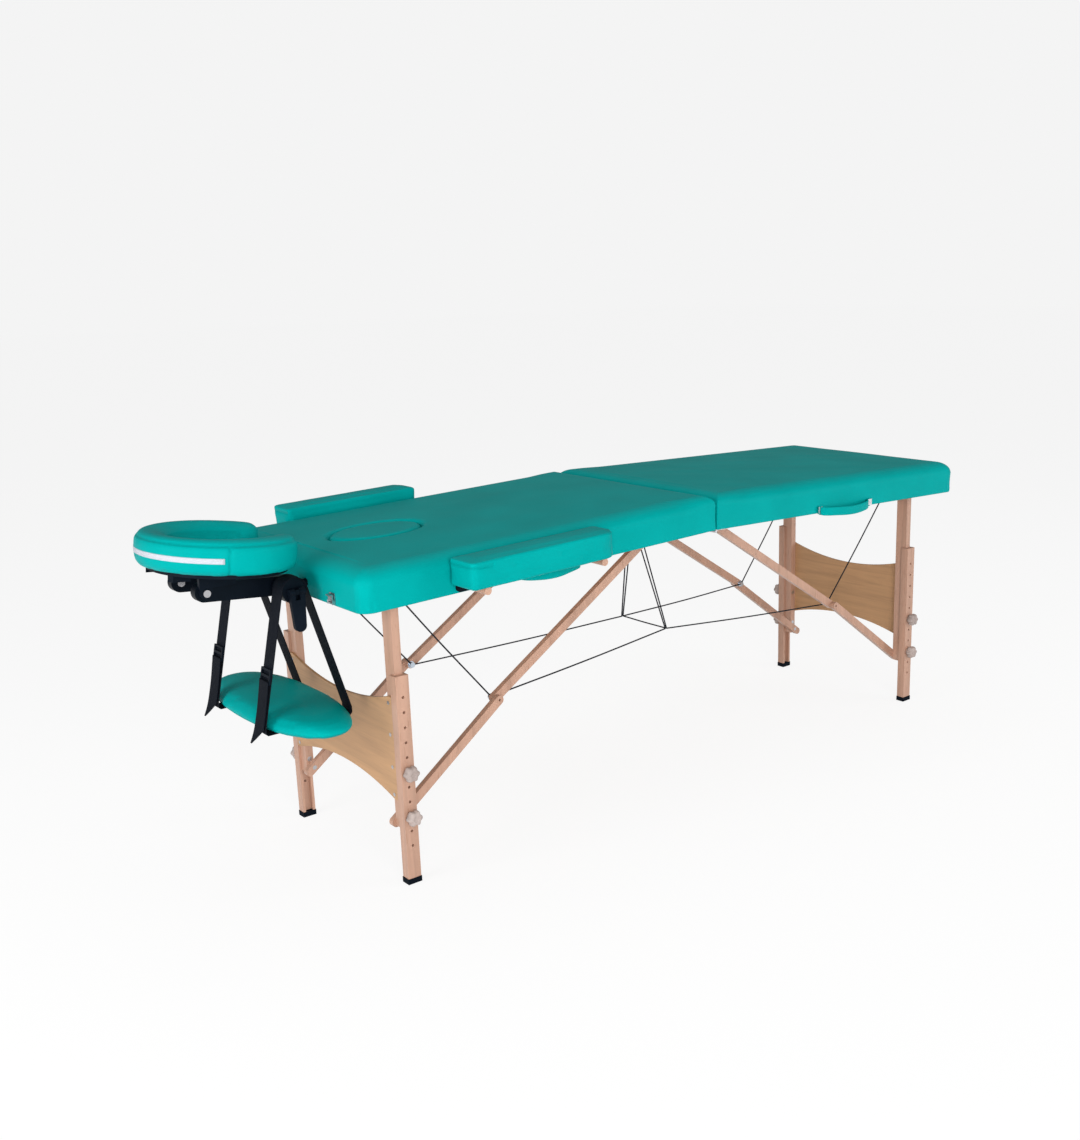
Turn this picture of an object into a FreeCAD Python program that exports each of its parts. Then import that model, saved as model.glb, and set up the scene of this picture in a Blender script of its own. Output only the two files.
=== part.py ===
import FreeCAD
import Part
import math
import os

os.makedirs("parts", exist_ok=True)
V = FreeCAD.Vector

# Table halves. Each half is drawn flat: x runs out from the hinge, z up from the underside of the rails.
half_length = 930.0
table_width = 600.0
butt_gap = 1.5
cover_thick = 2.0
rail_depth = 48.0
rail_thick = 20.0
end_rail_thick = 22.0
hinge_rail_thick = 20.0
deck_thick = 4.0
foam_thick = 28.0
crown = 8.0
corner_radius = 45.0
shoulder = 27.0
shoulder_spread = 1.7
hinge_shoulder = 20.0

# The hinge line stands high, so each half slopes down to its end.
camber = 1.65
hinge_height = 627.0
pin_drop = 4.0
knuckle_radius = 3.8
pin_radius = 2.0
leaf_length = 44.0
leaf_thick = 2.4
leaf_inset = 1.0

# Fits
running_fit = 0.05
fixed_fit = 0.02
slide_fit = 0.15
part_gap = 0.3

# Legs
leg_inset = 107.0
leg_pivot_rise = 16.0
leg_pivot_radius = 4.0
tongue_wide = 18.0
tongue_inner = 196.0
tongue_outer = 230.0
tongue_bottom = 116.0
leg_wide = 30.0
leg_inner = 220.0
leg_outer = 242.0
leg_top = 449.0
cap_height = 12.0
cap_lip = 1.0
top_hole = 404.0
hole_pitch = 32.0
hole_count = 11
upper_knob_hole = 5
lower_knob_hole = 8
knob_bolt_radius = 3.0
knob_radius = 17.0
knob_lobes = 6
knob_waist = 13.6
knob_height = 22.7
block_length = 54.0

# End panel between the upper legs
panel_thick = 6.0
panel_top = 402.0
panel_bottom = 180.0
panel_dip = 32.0
panel_edge = 219.7
panel_screws = (388.0, 320.0, 250.0, 190.0)
panel_screw_y = 208.0
screw_radius = 2.0
screw_head = 4.0

# Folding struts
strut_half = 10.0
upper_lane = (168.0, 181.7)
lower_lane = (182.0, 195.7)
frame_pivot_out = 50.0
frame_pivot_rise = 19.0
leg_end_height = 130.0
leg_end_offset = 4.0
strut_tail = 14.0
knee_slack = 0.5
strut_bolt_radius = 3.0
strut_block_length = 44.0
eye_radius = 6.5
eye_width = 7.0

# Stay cords
cord_radius = 1.75
eye_inset = 115.0
eye_side = 172.0
eye_drop = 17.0
ring_x = 33.0
ring_side = 84.0
ring_height = 343.0
ring_half_gap = 2.2

# Face hole and its plug
face_inset = 210.0
face_long = 105.0
face_short = 71.0
plug_clear = 0.5
plug_sink = 2.0

# Carrying handles on the near side
foot_handle = (356.0, 557.0)
head_handle = (417.0, 575.0)
handle_wide = 21.0
handle_thick = 4.0
handle_bow = 24.0
handle_low = -2.5
handle_plate = 24.0

# Latches on the ends
latch_side = 186.0
latch_wide = 20.0
latch_low = 3.0
latch_high = 25.0
latch_pin_radius = 1.3

# Face cradle
post_side = 78.0
post_radius = 8.0
post_depth = 85.0
drum_reach = 49.5
drum_rise = 28.0
drum_radius = 25.0
drum_lane = (92.5, 127.5)
hub_lane = (67.0, 89.0)
hub_radius = 18.0
arm_lane = (46.3, 66.2)
arm_half = 19.0
arm_tail = 26.0
axle_radius = 5.0
arm_reach = 153.2
arm_lift = 13.6
tilt_bolt_radius = 4.0
lug_lane = (66.6, 76.0)
lug_radius = 12.0
lug_web = 60.0
cushion_reach = 92.9
cushion_lift = 53.2
cushion_tilt = 6.0
cushion_long = 120.0
cushion_wide = 128.0
cushion_half = 38.0
cushion_height = 68.0
cushion_gap_angle = 42.0
plate_thick = 10.0
plate_inset = 26.0
plate_hole = 80.0
tape_low = 27.0
tape_high = 37.0
tape_thick = 1.4
tape_from = 96.0
tape_to = 250.0

# Cam lever
lever_length = 80.0
lever_top = 32.0
lever_tip = 24.0
lever_thick = 10.0
lever_pin_radius = 2.5
lever_slot = 10.0

# Arm shelf
shelf_reach = -8.4
shelf_half_x = 95.0
shelf_half_y = 230.0
shelf_power = 2.5
shelf_bottom = 356.0
board_thick = 6.0
board_inset = 16.0
shelf_top = 374.0
shelf_crown = 15.0
shelf_brim = 6.0
strap_side = 110.0
strap_wide = 32.0
strap_thick = 2.0
strap_under = 34.0
buckle_height = 469.0
buckle_long = 30.0
buckle_wide = 40.0
buckle_thick = 4.0

# Armrests
near_rest = (368.0, 738.0)
far_rest = (430.0, 770.0)
rest_gap = 3.6
rest_wide = 84.4
rest_low = 19.0
rest_board = 5.0
rest_board_inset = 12.0
rest_pad = 52.0
far_rest_rise = 24.0
rest_crown = 4.0
rest_straight = 46.4
rest_tight = 14.0
dowel_radius = 8.0
dowel_rise = 12.0
dowel_depth = 10.0
dowel_foot_margin = 32.0
dowel_head_margin = 42.0
collar_radius = 11.0
collar_reach = 16.0
collar_thick = 3.0

half_width = table_width / 2
rail_face = half_width - cover_thick
rail_start = butt_gap + cover_thick
rail_end = half_length - cover_thick
deck_top = rail_depth + deck_thick
pad_edge = deck_top + foam_thick
slope = math.radians(camber)
leg_x = half_length - leg_inset
eye_out = half_length - eye_inset
face_out = half_length - face_inset
post_end = half_length - post_depth
drum_out = half_length + drum_reach
rest_inner = half_width + rest_gap
rest_outer = rest_inner + rest_wide
rest_round = rest_wide - rest_straight
dowel_inner = rail_face - rail_thick - dowel_depth


# Basic solids
def box(x0, x1, y0, y1, z0, z1):
    return Part.makeBox(x1 - x0, y1 - y0, z1 - z0, V(x0, y0, z0))


def rod(start, end, radius):
    line = end - start
    return Part.makeCylinder(radius, line.Length, start, line)


def rod_y(x, z, y0, y1, radius):
    return rod(V(x, y0, z), V(x, y1, z), radius)


def rod_x(y, z, x0, x1, radius):
    return rod(V(x0, y, z), V(x1, y, z), radius)


def prism(points, direction):
    wire = Part.makePolygon(points + [points[0]])
    return Part.Face(wire).extrude(direction)


def prism_y(outline, y0, y1):
    return prism([V(x, y0, z) for x, z in outline], V(0, y1 - y0, 0))


def prism_z(outline, z0, z1):
    return prism([V(x, y, z0) for x, y in outline], V(0, 0, z1 - z0))


def bar(p, q, radius, y0, y1):
    along = V(q[0] - p[0], 0, q[1] - p[1])
    along.normalize()
    across = V(-along.z, 0, along.x) * radius
    a = V(p[0], y0, p[1])
    b = V(q[0], y0, q[1])
    sides = [Part.makeLine(a + across, b + across), Part.makeLine(b - across, a - across)]
    far_end = Part.Arc(b + across, b + along * radius, b - across).toShape()
    near_end = Part.Arc(a - across, a - along * radius, a + across).toShape()
    wire = Part.Wire([sides[0], far_end, sides[1], near_end])
    return Part.Face(wire).extrude(V(0, y1 - y0, 0))


def ribbon_outline(path, thick):
    left, right = [], []
    for i, (x, z) in enumerate(path):
        before = path[max(i - 1, 0)]
        after = path[min(i + 1, len(path) - 1)]
        into = V(x - before[0], z - before[1], 0) if i > 0 else V(after[0] - x, after[1] - z, 0)
        out = V(after[0] - x, after[1] - z, 0) if i < len(path) - 1 else V(into)
        into.normalize()
        out.normalize()
        normal = V(-into.y - out.y, into.x + out.x, 0)
        normal.normalize()
        reach = thick / 2 / max(normal.dot(V(-into.y, into.x, 0)), 0.4)
        left.append((x + normal.x * reach, z + normal.y * reach))
        right.append((x - normal.x * reach, z - normal.y * reach))
    return left + right[::-1]


def mirror_y(shape):
    return shape.mirror(V(0, 0, 0), V(0, 1, 0))


def mirror_x(shape):
    return shape.mirror(V(0, 0, 0), V(1, 0, 0))


def pair(shape):
    return [shape, mirror_y(shape)]


# Placing a flat half, and the same for single points
def on_foot(shape):
    placed = shape.copy()
    placed.translate(V(0, 0, pin_drop))
    placed.rotate(V(0, 0, 0), V(0, 1, 0), camber)
    placed.translate(V(0, 0, hinge_height))
    return placed


def on_head(shape):
    return mirror_x(on_foot(shape))


def half_to_world(out, rise):
    x = out * math.cos(slope) + (rise + pin_drop) * math.sin(slope)
    z = hinge_height - out * math.sin(slope) + (rise + pin_drop) * math.cos(slope)
    return x, z


def world_to_half(x, z):
    fall = z - hinge_height
    out = x * math.cos(slope) - fall * math.sin(slope)
    rise = x * math.sin(slope) + fall * math.cos(slope) - pin_drop
    return out, rise


# Plan of a half, rounded at the two outer corners
def plan(inset, z0, z1):
    x0 = butt_gap + inset
    x1 = half_length - inset
    y1 = half_width - inset
    r = corner_radius - inset
    k = r * (1 - math.sqrt(0.5))
    edges = [
        Part.makeLine(V(x0, -y1, z0), V(x1 - r, -y1, z0)),
        Part.Arc(V(x1 - r, -y1, z0), V(x1 - k, -y1 + k, z0), V(x1, -y1 + r, z0)).toShape(),
        Part.makeLine(V(x1, -y1 + r, z0), V(x1, y1 - r, z0)),
        Part.Arc(V(x1, y1 - r, z0), V(x1 - k, y1 - k, z0), V(x1 - r, y1, z0)).toShape(),
        Part.makeLine(V(x1 - r, y1, z0), V(x0, y1, z0)),
        Part.makeLine(V(x0, y1, z0), V(x0, -y1, z0)),
    ]
    return Part.Face(Part.Wire(edges)).extrude(V(0, 0, z1 - z0))


# A soft top: sides up to the shoulders, round shoulders, then a shallow arch
def arch(a0, a1, low, edge, rise, r0, r1, place, direction, spread=1.0):
    bend = 1 - math.sqrt(0.5)
    w0 = r0 * spread
    w1 = r1 * spread
    lift = rise * 0.25
    middle = place((a0 + a1) / 2, edge + rise)
    left_top = place(a0 + w0, edge + lift)
    right_top = place(a1 - w1, edge + lift)
    left_side = place(a0, edge - r0)
    right_side = place(a1, edge - r1)
    edges = [
        Part.makeLine(place(a0, low), left_side),
        Part.Arc(left_side, place(a0 + w0 * bend, edge - r0 * bend + lift / 2), left_top).toShape(),
        Part.Arc(left_top, middle, right_top).toShape(),
        Part.Arc(right_top, place(a1 - w1 * bend, edge - r1 * bend + lift / 2), right_side).toShape(),
        Part.makeLine(right_side, place(a1, low)),
        Part.makeLine(place(a1, low), place(a0, low)),
    ]
    return Part.Face(Part.Wire(edges)).extrude(direction)


def face_oval(grow, z0, z1):
    oval = Part.Ellipse(V(face_out, 0, z0), face_long + grow, face_short + grow).toShape()
    return Part.Face(Part.Wire([oval])).extrude(V(0, 0, z1 - z0))


nodes = {}

# Leg and strut pivots, in the flat half's plane
leg_pivot_z = hinge_height - (leg_x - (leg_pivot_rise + pin_drop) * math.sin(slope)) * math.tan(slope)
leg_pivot_z += (leg_pivot_rise + pin_drop) * math.cos(slope)
leg_pivot = world_to_half(leg_x, leg_pivot_z)
frame_pivot = (frame_pivot_out, frame_pivot_rise)
leg_end_world = (leg_x - leg_end_offset, leg_end_height)
leg_end = world_to_half(*leg_end_world)
leg_fold_angle = 90.0 + camber


def turned(point, centre, degrees):
    a = math.radians(degrees)
    dx = point[0] - centre[0]
    dz = point[1] - centre[1]
    x = centre[0] + dx * math.cos(a) - dz * math.sin(a)
    return x, centre[1] + dx * math.sin(a) + dz * math.cos(a)


def distance(p, q):
    return math.hypot(q[0] - p[0], q[1] - p[1])


def knee_point(p, r, q, s):
    length = distance(p, q)
    along = (r * r - s * s + length * length) / (2 * length)
    off = math.sqrt(max(r * r - along * along, 0.0))
    ex = (q[0] - p[0]) / length
    ez = (q[1] - p[1]) / length
    return p[0] + along * ex - off * ez, p[1] + along * ez + off * ex


# Strut lengths that suit both the open and the folded leg, with the knee hardly bent when open
leg_end_folded = turned(leg_end, leg_pivot, -leg_fold_angle)
open_span = distance(frame_pivot, leg_end)
folded_span = distance(frame_pivot, leg_end_folded)
upper_length = (open_span + folded_span + knee_slack) / 2
lower_length = (open_span - folded_span + knee_slack) / 2
knee = knee_point(frame_pivot, upper_length, leg_end, lower_length)
knee_folded = knee_point(frame_pivot, upper_length, leg_end_folded, lower_length)
knee_world = half_to_world(*knee)

# Rails and blocks of a half
rail_plan = plan(cover_thick, 0, rail_depth)
side_rail = box(rail_start, half_length, rail_face - rail_thick, half_width, 0, rail_depth).common(rail_plan)
end_rail_start = rail_end - end_rail_thick
inner_side = rail_face - rail_thick
end_rail = box(end_rail_start, half_length, -inner_side, inner_side, 0, rail_depth).common(rail_plan)
hinge_rail = box(rail_start, rail_start + hinge_rail_thick, -inner_side, inner_side, 0, rail_depth)
block_out = (leg_pivot[0] - block_length / 2, leg_pivot[0] + block_length / 2)
leg_block = box(block_out[0], block_out[1], tongue_outer + part_gap, inner_side, 0, rail_depth)
pivot_hole = rod_y(leg_pivot[0], leg_pivot[1], tongue_outer, inner_side + 1, leg_pivot_radius + fixed_fit)
leg_block = leg_block.cut(pivot_hole)
strut_block_start = rail_start + hinge_rail_thick
strut_block = box(strut_block_start, strut_block_start + strut_block_length,
                  lower_lane[0] + 0.2, lower_lane[0] + 20.0, frame_pivot_rise - 13, rail_depth)
strut_block = strut_block.cut(rod_y(frame_pivot[0], frame_pivot[1], upper_lane[0], lower_lane[0] + 30,
                                    strut_bolt_radius + fixed_fit))


def dowel_places(span):
    return [span[0] + dowel_foot_margin, span[1] - dowel_head_margin]


def dowel_holes(sign, span, grow):
    holes = []
    for out in dowel_places(span):
        ends = sorted((sign * (inner_side - 5), sign * (half_width + 5)))
        holes.append(rod_y(out, dowel_rise, ends[0], ends[1], dowel_radius + grow))
    return holes


def post_holes(grow):
    return pair(rod_x(post_side, drum_rise, end_rail_start - 5, half_length + 5, post_radius + grow))


head_side_rails = []
for sign, span in ((1, far_rest), (-1, near_rest)):
    rail = side_rail if sign > 0 else mirror_y(side_rail)
    for hole in dowel_holes(sign, span, running_fit):
        rail = rail.cut(hole)
    head_side_rails.append(rail)
head_end_rail = end_rail
for hole in post_holes(running_fit):
    head_end_rail = head_end_rail.cut(hole)
blocks = pair(leg_block) + pair(strut_block)
nodes["foot_rails"] = [on_foot(s) for s in pair(side_rail) + [end_rail, hinge_rail] + blocks]
nodes["head_rails"] = [on_head(s) for s in head_side_rails + [head_end_rail, hinge_rail] + blocks]

# Decks
deck = plan(cover_thick, rail_depth, deck_top)
nodes["foot_deck"] = [on_foot(deck)]
nodes["head_deck"] = [on_head(deck.cut(face_oval(plug_clear, rail_depth - 1, deck_top + 1)))]

# Pads with the cover drawn down over the rails
across = arch(-half_width, half_width, 0, pad_edge, crown, shoulder, shoulder,
              lambda a, h: V(0, a, h), V(half_length, 0, 0), shoulder_spread)
along = arch(butt_gap, half_length, 0, pad_edge + crown / 2, crown / 2, hinge_shoulder, shoulder,
             lambda a, h: V(a, -half_width, h), V(0, table_width, 0), shoulder_spread)
pad = plan(0, 0, pad_edge + crown).common(across).common(along)
pad = pad.cut(plan(cover_thick, -1, deck_top))
head_pad = pad.cut(face_oval(plug_clear, rail_depth, pad_edge + 2 * crown))
for sign, span in ((1, far_rest), (-1, near_rest)):
    for hole in dowel_holes(sign, span, part_gap):
        head_pad = head_pad.cut(hole)
for hole in post_holes(part_gap):
    head_pad = head_pad.cut(hole)
nodes["foot_pad"] = [on_foot(pad)]
nodes["head_pad"] = [on_head(head_pad)]

# Face plug, held by its close fit in the hole
plug_top = pad_edge + crown - plug_sink
plug = face_oval(0, rail_depth, plug_top)
rim = [e for e in plug.Edges if abs(e.BoundBox.ZMin - plug_top) < 0.01 and e.BoundBox.ZLength < 0.01]
nodes["face_plug"] = [on_head(plug.makeFillet(6.0, rim))]

# Hinges: a leaf with a knuckle on each half, side by side on a loose pin
leaf_y = (inner_side + leaf_inset, rail_face - leaf_inset)
knuckle_middle = (leaf_y[0] + leaf_y[1]) / 2


def hinge_leaf(y0, y1):
    leaf = box(knuckle_radius + part_gap, leaf_length, y0, y1, -leaf_thick, 0)
    neck = box(0, knuckle_radius + 1, y0, y1, -leaf_thick, -0.2)
    knuckle = rod_y(0, -pin_drop, y0, y1, knuckle_radius)
    leaf = leaf.fuse([neck, knuckle]).removeSplitter()
    return leaf.cut(rod_y(0, -pin_drop, y0 - 1, y1 + 1, pin_radius + running_fit))


foot_leaf = hinge_leaf(knuckle_middle + running_fit, leaf_y[1])
head_leaf = hinge_leaf(leaf_y[0], knuckle_middle - running_fit)
pin = rod_y(0, hinge_height, leaf_y[0], leaf_y[1], pin_radius)
pin_head = rod_y(0, hinge_height, leaf_y[0] - 1.6, leaf_y[0] - 0.1, pin_radius + 1)
pin_tail = rod_y(0, hinge_height, leaf_y[1] + 0.1, leaf_y[1] + 1.6, pin_radius + 1)
pin_core = rod_y(0, hinge_height, leaf_y[0] - 1, leaf_y[1] + 1, pin_radius)
nodes["hinge_pins"] = pair(pin.fuse([pin_core, pin_head, pin_tail]).removeSplitter())

# Upper legs: tongues that carry the height bolts, the strut and the end panel
knob_heights = [top_hole - hole_pitch * upper_knob_hole, top_hole - hole_pitch * lower_knob_hole]
tongue = box(leg_x - tongue_wide / 2, leg_x + tongue_wide / 2, tongue_inner, tongue_outer,
             tongue_bottom, leg_pivot_z)
crest = rod_y(leg_x, leg_pivot_z, tongue_inner, tongue_outer, tongue_wide / 2)
tongue = tongue.fuse(crest).removeSplitter()
tongue = tongue.cut(rod_y(leg_x, leg_pivot_z, tongue_inner - 1, tongue_outer + 1,
                          leg_pivot_radius + running_fit))
tongue = tongue.cut(rod_y(leg_end_world[0], leg_end_world[1], tongue_inner - 1, tongue_inner + 22,
                          strut_bolt_radius + fixed_fit))
bolt_head_depth = 2.6
bolt_head_radius = 6.0
for z in knob_heights:
    tongue = tongue.cut(rod_y(leg_x, z, tongue_inner - 1, tongue_outer + 1, knob_bolt_radius + fixed_fit))
    tongue = tongue.cut(rod_y(leg_x, z, tongue_inner - 1, tongue_inner + bolt_head_depth,
                              bolt_head_radius + fixed_fit))
panel_face = leg_x + tongue_wide / 2
screw_depth = 12.0
for z in panel_screws:
    tongue = tongue.cut(rod_x(panel_screw_y, z, panel_face - screw_depth, panel_face + 1,
                              screw_radius + fixed_fit))


def both_ends(name, shapes):
    nodes["foot_" + name] = shapes
    nodes["head_" + name] = [mirror_x(s) for s in shapes]


both_ends("upper_legs", pair(tongue))

# End panel with hollow top and bottom edges
panel_edges = [
    Part.Arc(V(panel_face, -panel_screw_y, panel_top), V(panel_face, 0, panel_top - panel_dip),
             V(panel_face, panel_screw_y, panel_top)).toShape(),
    Part.makeLine(V(panel_face, panel_screw_y, panel_top), V(panel_face, panel_edge, panel_top)),
    Part.makeLine(V(panel_face, panel_edge, panel_top), V(panel_face, panel_edge, panel_bottom)),
    Part.makeLine(V(panel_face, panel_edge, panel_bottom), V(panel_face, panel_screw_y, panel_bottom)),
    Part.Arc(V(panel_face, panel_screw_y, panel_bottom), V(panel_face, 0, panel_bottom + panel_dip),
             V(panel_face, -panel_screw_y, panel_bottom)).toShape(),
    Part.makeLine(V(panel_face, -panel_screw_y, panel_bottom), V(panel_face, -panel_edge, panel_bottom)),
    Part.makeLine(V(panel_face, -panel_edge, panel_bottom), V(panel_face, -panel_edge, panel_top)),
    Part.makeLine(V(panel_face, -panel_edge, panel_top), V(panel_face, -panel_screw_y, panel_top)),
]
panel = Part.Face(Part.Wire(panel_edges)).extrude(V(panel_thick, 0, 0))
panel_outer = panel_face + panel_thick
screw = rod_x(panel_screw_y, 0, panel_face - screw_depth, panel_outer - 1, screw_radius)
screw = screw.fuse(rod_x(panel_screw_y, 0, panel_outer - 1.5, panel_outer + 0.8, screw_head)).removeSplitter()
screws = []
for z in panel_screws:
    for side in (panel_screw_y, -panel_screw_y):
        panel = panel.cut(rod_x(side, z, panel_face - 1, panel_outer + 1, screw_radius + fixed_fit))
        panel = panel.cut(rod_x(side, z, panel_outer - 1.5, panel_outer + 1, screw_head + fixed_fit))
        placed = screw.copy()
        placed.translate(V(0, side - panel_screw_y, z))
        screws.append(placed)
both_ends("panel", [panel])

# Height bolts through the tongues, and the bolts at the foot of the struts
leg_bolts = []
for z in knob_heights:
    shank = rod_y(leg_x, z, tongue_inner + 0.1, leg_outer + 16, knob_bolt_radius)
    head = rod_y(leg_x, z, tongue_inner + 0.1, tongue_inner + bolt_head_depth, bolt_head_radius)
    leg_bolts += pair(shank.fuse(head).removeSplitter())
flush = lower_lane[0] + 0.2
strut_bolt = rod_y(leg_end_world[0], leg_end_world[1], flush, tongue_inner + 20, strut_bolt_radius)
strut_bolt_head = rod_y(leg_end_world[0], leg_end_world[1], flush, flush + 3, strut_bolt_radius + 2)
leg_bolts += pair(strut_bolt.fuse(strut_bolt_head).removeSplitter())
both_ends("leg_fasteners", leg_bolts + screws)

# Lower legs: a groove for the tongue and a row of height holes
lower_leg = box(leg_x - leg_wide / 2, leg_x + leg_wide / 2, leg_inner, leg_outer, cap_height / 2, leg_top)
groove_half = tongue_wide / 2 + slide_fit
lower_leg = lower_leg.cut(box(leg_x - groove_half, leg_x + groove_half, leg_inner - 1,
                              tongue_outer + slide_fit, 0, leg_top + 1))
for i in range(hole_count):
    lower_leg = lower_leg.cut(rod_y(leg_x, top_hole - hole_pitch * i, leg_inner, leg_outer + 1,
                                    knob_bolt_radius + running_fit))
cap_outer = box(leg_x - leg_wide / 2 - cap_lip, leg_x + leg_wide / 2 + cap_lip,
                leg_inner - cap_lip, leg_outer + cap_lip, 0, cap_height)
cap = cap_outer.cut(lower_leg)
for side, shape_leg, shape_cap in (("far", lower_leg, cap), ("near", mirror_y(lower_leg), mirror_y(cap))):
    nodes["foot_" + side + "_lower_leg"] = [shape_leg]
    nodes["head_" + side + "_lower_leg"] = [mirror_x(shape_leg)]
    nodes["foot_" + side + "_foot_cap"] = [shape_cap]
    nodes["head_" + side + "_foot_cap"] = [mirror_x(shape_cap)]

# Lobed knobs
knob_start = leg_outer + part_gap
lobe_points = []
for i in range(knob_lobes):
    turn = 2 * math.pi * i / knob_lobes
    step = math.pi / knob_lobes
    for angle, radius in ((turn - step, knob_waist), (turn, knob_radius)):
        lobe_points.append(V(radius * math.cos(angle), knob_start + 6, radius * math.sin(angle)))
lobe_curve = Part.BSplineCurve()
lobe_curve.interpolate(lobe_points, PeriodicFlag=True)
knob_body = Part.Face(Part.Wire([lobe_curve.toShape()])).extrude(V(0, knob_height - 6, 0))
knob = knob_body.fuse(rod_y(0, 0, knob_start, knob_start + 7, knob_waist - 3)).removeSplitter()
knob = knob.cut(rod_y(0, 0, knob_start - 1, leg_outer + 17, knob_bolt_radius + running_fit))
for label, z in (("upper", knob_heights[0]), ("lower", knob_heights[1])):
    placed = knob.copy()
    placed.translate(V(leg_x, 0, z))
    for side, shape in (("far", placed), ("near", mirror_y(placed))):
        nodes["foot_" + side + "_" + label + "_knob"] = [shape]
        nodes["head_" + side + "_" + label + "_knob"] = [mirror_x(shape)]

# Folding struts, lapped side by side at the knee
upper_strut = bar(frame_pivot, knee, strut_half, upper_lane[0], upper_lane[1])
upper_strut = upper_strut.cut(rod_y(frame_pivot[0], frame_pivot[1], upper_lane[0] - 1, upper_lane[1] + 1,
                                    strut_bolt_radius + running_fit))
upper_strut = upper_strut.cut(rod_y(knee[0], knee[1], upper_lane[0] - 1, upper_lane[1] + 1,
                                    strut_bolt_radius + fixed_fit))
tail_x = leg_end[0] + (leg_end[0] - knee[0]) / lower_length * strut_tail
tail_z = leg_end[1] + (leg_end[1] - knee[1]) / lower_length * strut_tail
lower_strut = bar((tail_x, tail_z), knee, strut_half, lower_lane[0], lower_lane[1])
lower_strut = lower_strut.cut(rod_y(leg_end[0], leg_end[1], lower_lane[0] - 1, lower_lane[1] + 1,
                                    strut_bolt_radius + running_fit))
lower_strut = lower_strut.cut(rod_y(leg_end[0], leg_end[1], lower_lane[0] - 1, flush + 3.1,
                                    strut_bolt_radius + 2 + running_fit))
lower_strut = lower_strut.cut(rod_y(knee[0], knee[1], lower_lane[0] - 1, lower_lane[1] + 1,
                                    strut_bolt_radius + fixed_fit))
both_ends("upper_struts", [on_foot(s) for s in pair(upper_strut)])
both_ends("lower_struts", [on_foot(s) for s in pair(lower_strut)])

# Knee eyes on the upper struts
eye = rod_y(knee[0], knee[1], upper_lane[0] - eye_width - 2, upper_lane[0] - 2, eye_radius)
eye = eye.fuse(rod_y(knee[0], knee[1], upper_lane[0] - 2, upper_lane[0], eye_radius + 2)).removeSplitter()
eye = eye.fuse(rod_y(knee[0], knee[1], upper_lane[0] - 2, upper_lane[1], strut_bolt_radius)).removeSplitter()
both_ends("knee_eyes", [on_foot(s) for s in pair(eye)])

# Pivot bolts, cord eyes and cord staples of the frame
leg_bolt = rod_y(leg_pivot[0], leg_pivot[1], tongue_inner - 3.4, inner_side - 6, leg_pivot_radius)
leg_bolt = leg_bolt.fuse(rod_y(leg_pivot[0], leg_pivot[1], tongue_inner - 3.4, tongue_inner - 0.2,
                               leg_pivot_radius * 2)).removeSplitter()
frame_bolt = rod_y(frame_pivot[0], frame_pivot[1], upper_lane[0] - 3.4, lower_lane[0] + 18, strut_bolt_radius)
frame_bolt = frame_bolt.fuse(rod_y(frame_pivot[0], frame_pivot[1], upper_lane[0] - 3.4, upper_lane[0] - 0.2,
                                   strut_bolt_radius * 2)).removeSplitter()
eye_centre = V(eye_out, eye_side, rail_depth - eye_drop)
staple_long = 8.0
staple_middle = rail_start + staple_long / 2
cord_eye = Part.makeTorus(5.0, 1.2, eye_centre, V(0, 1, 0))
cord_eye = cord_eye.fuse(rod(eye_centre + V(0, 0, 5), V(eye_out, eye_side, rail_depth), 1.5))
staple = box(rail_start + 0.5, rail_start + staple_long, -9, 9, -2, 0)
frame_fittings = pair(leg_bolt) + pair(frame_bolt) + pair(cord_eye) + [staple]

# Stay cords of a half: frame eye to knee, knee to ring, ring to the staple
knee_y = upper_lane[0] - 2 - eye_width / 2
staple_x, staple_z = half_to_world(staple_middle, -2)
staple_end = V(staple_x, 5, staple_z - cord_radius)
knee_trim = eye_radius + 0.5


def cord_run(start, end, start_trim, end_trim):
    line = end - start
    line.normalize()
    return rod(start + line * start_trim, end - line * end_trim, cord_radius)


def stay_cords(ring):
    knee_eye = V(knee_world[0], knee_y, knee_world[1])
    frame_x, frame_z = half_to_world(eye_centre.x, eye_centre.z)
    runs = [cord_run(V(frame_x, eye_side, frame_z), knee_eye, 6.3, knee_trim)]
    knot = Part.makeSphere(cord_radius * 1.1, ring)
    lower = cord_run(knee_eye, ring, knee_trim, 0)
    riser = cord_run(ring, staple_end, 0, 0)
    runs.append(lower.fuse([knot, riser]))
    return runs


foot_ring = V(ring_x + ring_half_gap, ring_side, ring_height)
head_ring = V(-ring_x + ring_half_gap, ring_side, ring_height)
foot_cords = stay_cords(foot_ring)
head_cords = stay_cords(head_ring)
cross_cord = cord_run(foot_ring, V(foot_ring.x, -ring_side, ring_height), 3.2, 3.2)
nodes["foot_stay_cords"] = pair(foot_cords[0]) + pair(foot_cords[1]) + [cross_cord]
nodes["head_stay_cords"] = [mirror_x(s) for s in pair(head_cords[0]) + pair(head_cords[1])]

# Carrying handles: a bowed strap between two end plates
handle_face = half_width
handle_steps = 14


def handle(span):
    path = []
    for i in range(handle_steps + 1):
        share = i / handle_steps
        bow = handle_bow * math.sin(math.pi * min(max((share - 0.1) / 0.8, 0), 1)) ** 0.8
        path.append((span[0] + (span[1] - span[0]) * share, -handle_face - handle_thick / 2 - 0.2 - bow))
    return prism_z(ribbon_outline(path, handle_thick), handle_low, handle_low + handle_wide)


def handle_plates(span):
    y1 = -handle_face - handle_thick - 0.4
    plates = []
    for start in (span[0] - 4, span[1] + 4 - handle_plate * 0.6):
        plates.append(box(start, start + handle_plate * 0.6, y1 - 1.6, y1, handle_low + 3, handle_low + 19))
    return plates


nodes["foot_handle"] = [on_foot(handle(foot_handle))]
nodes["head_handle"] = [on_head(handle(head_handle))]

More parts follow.
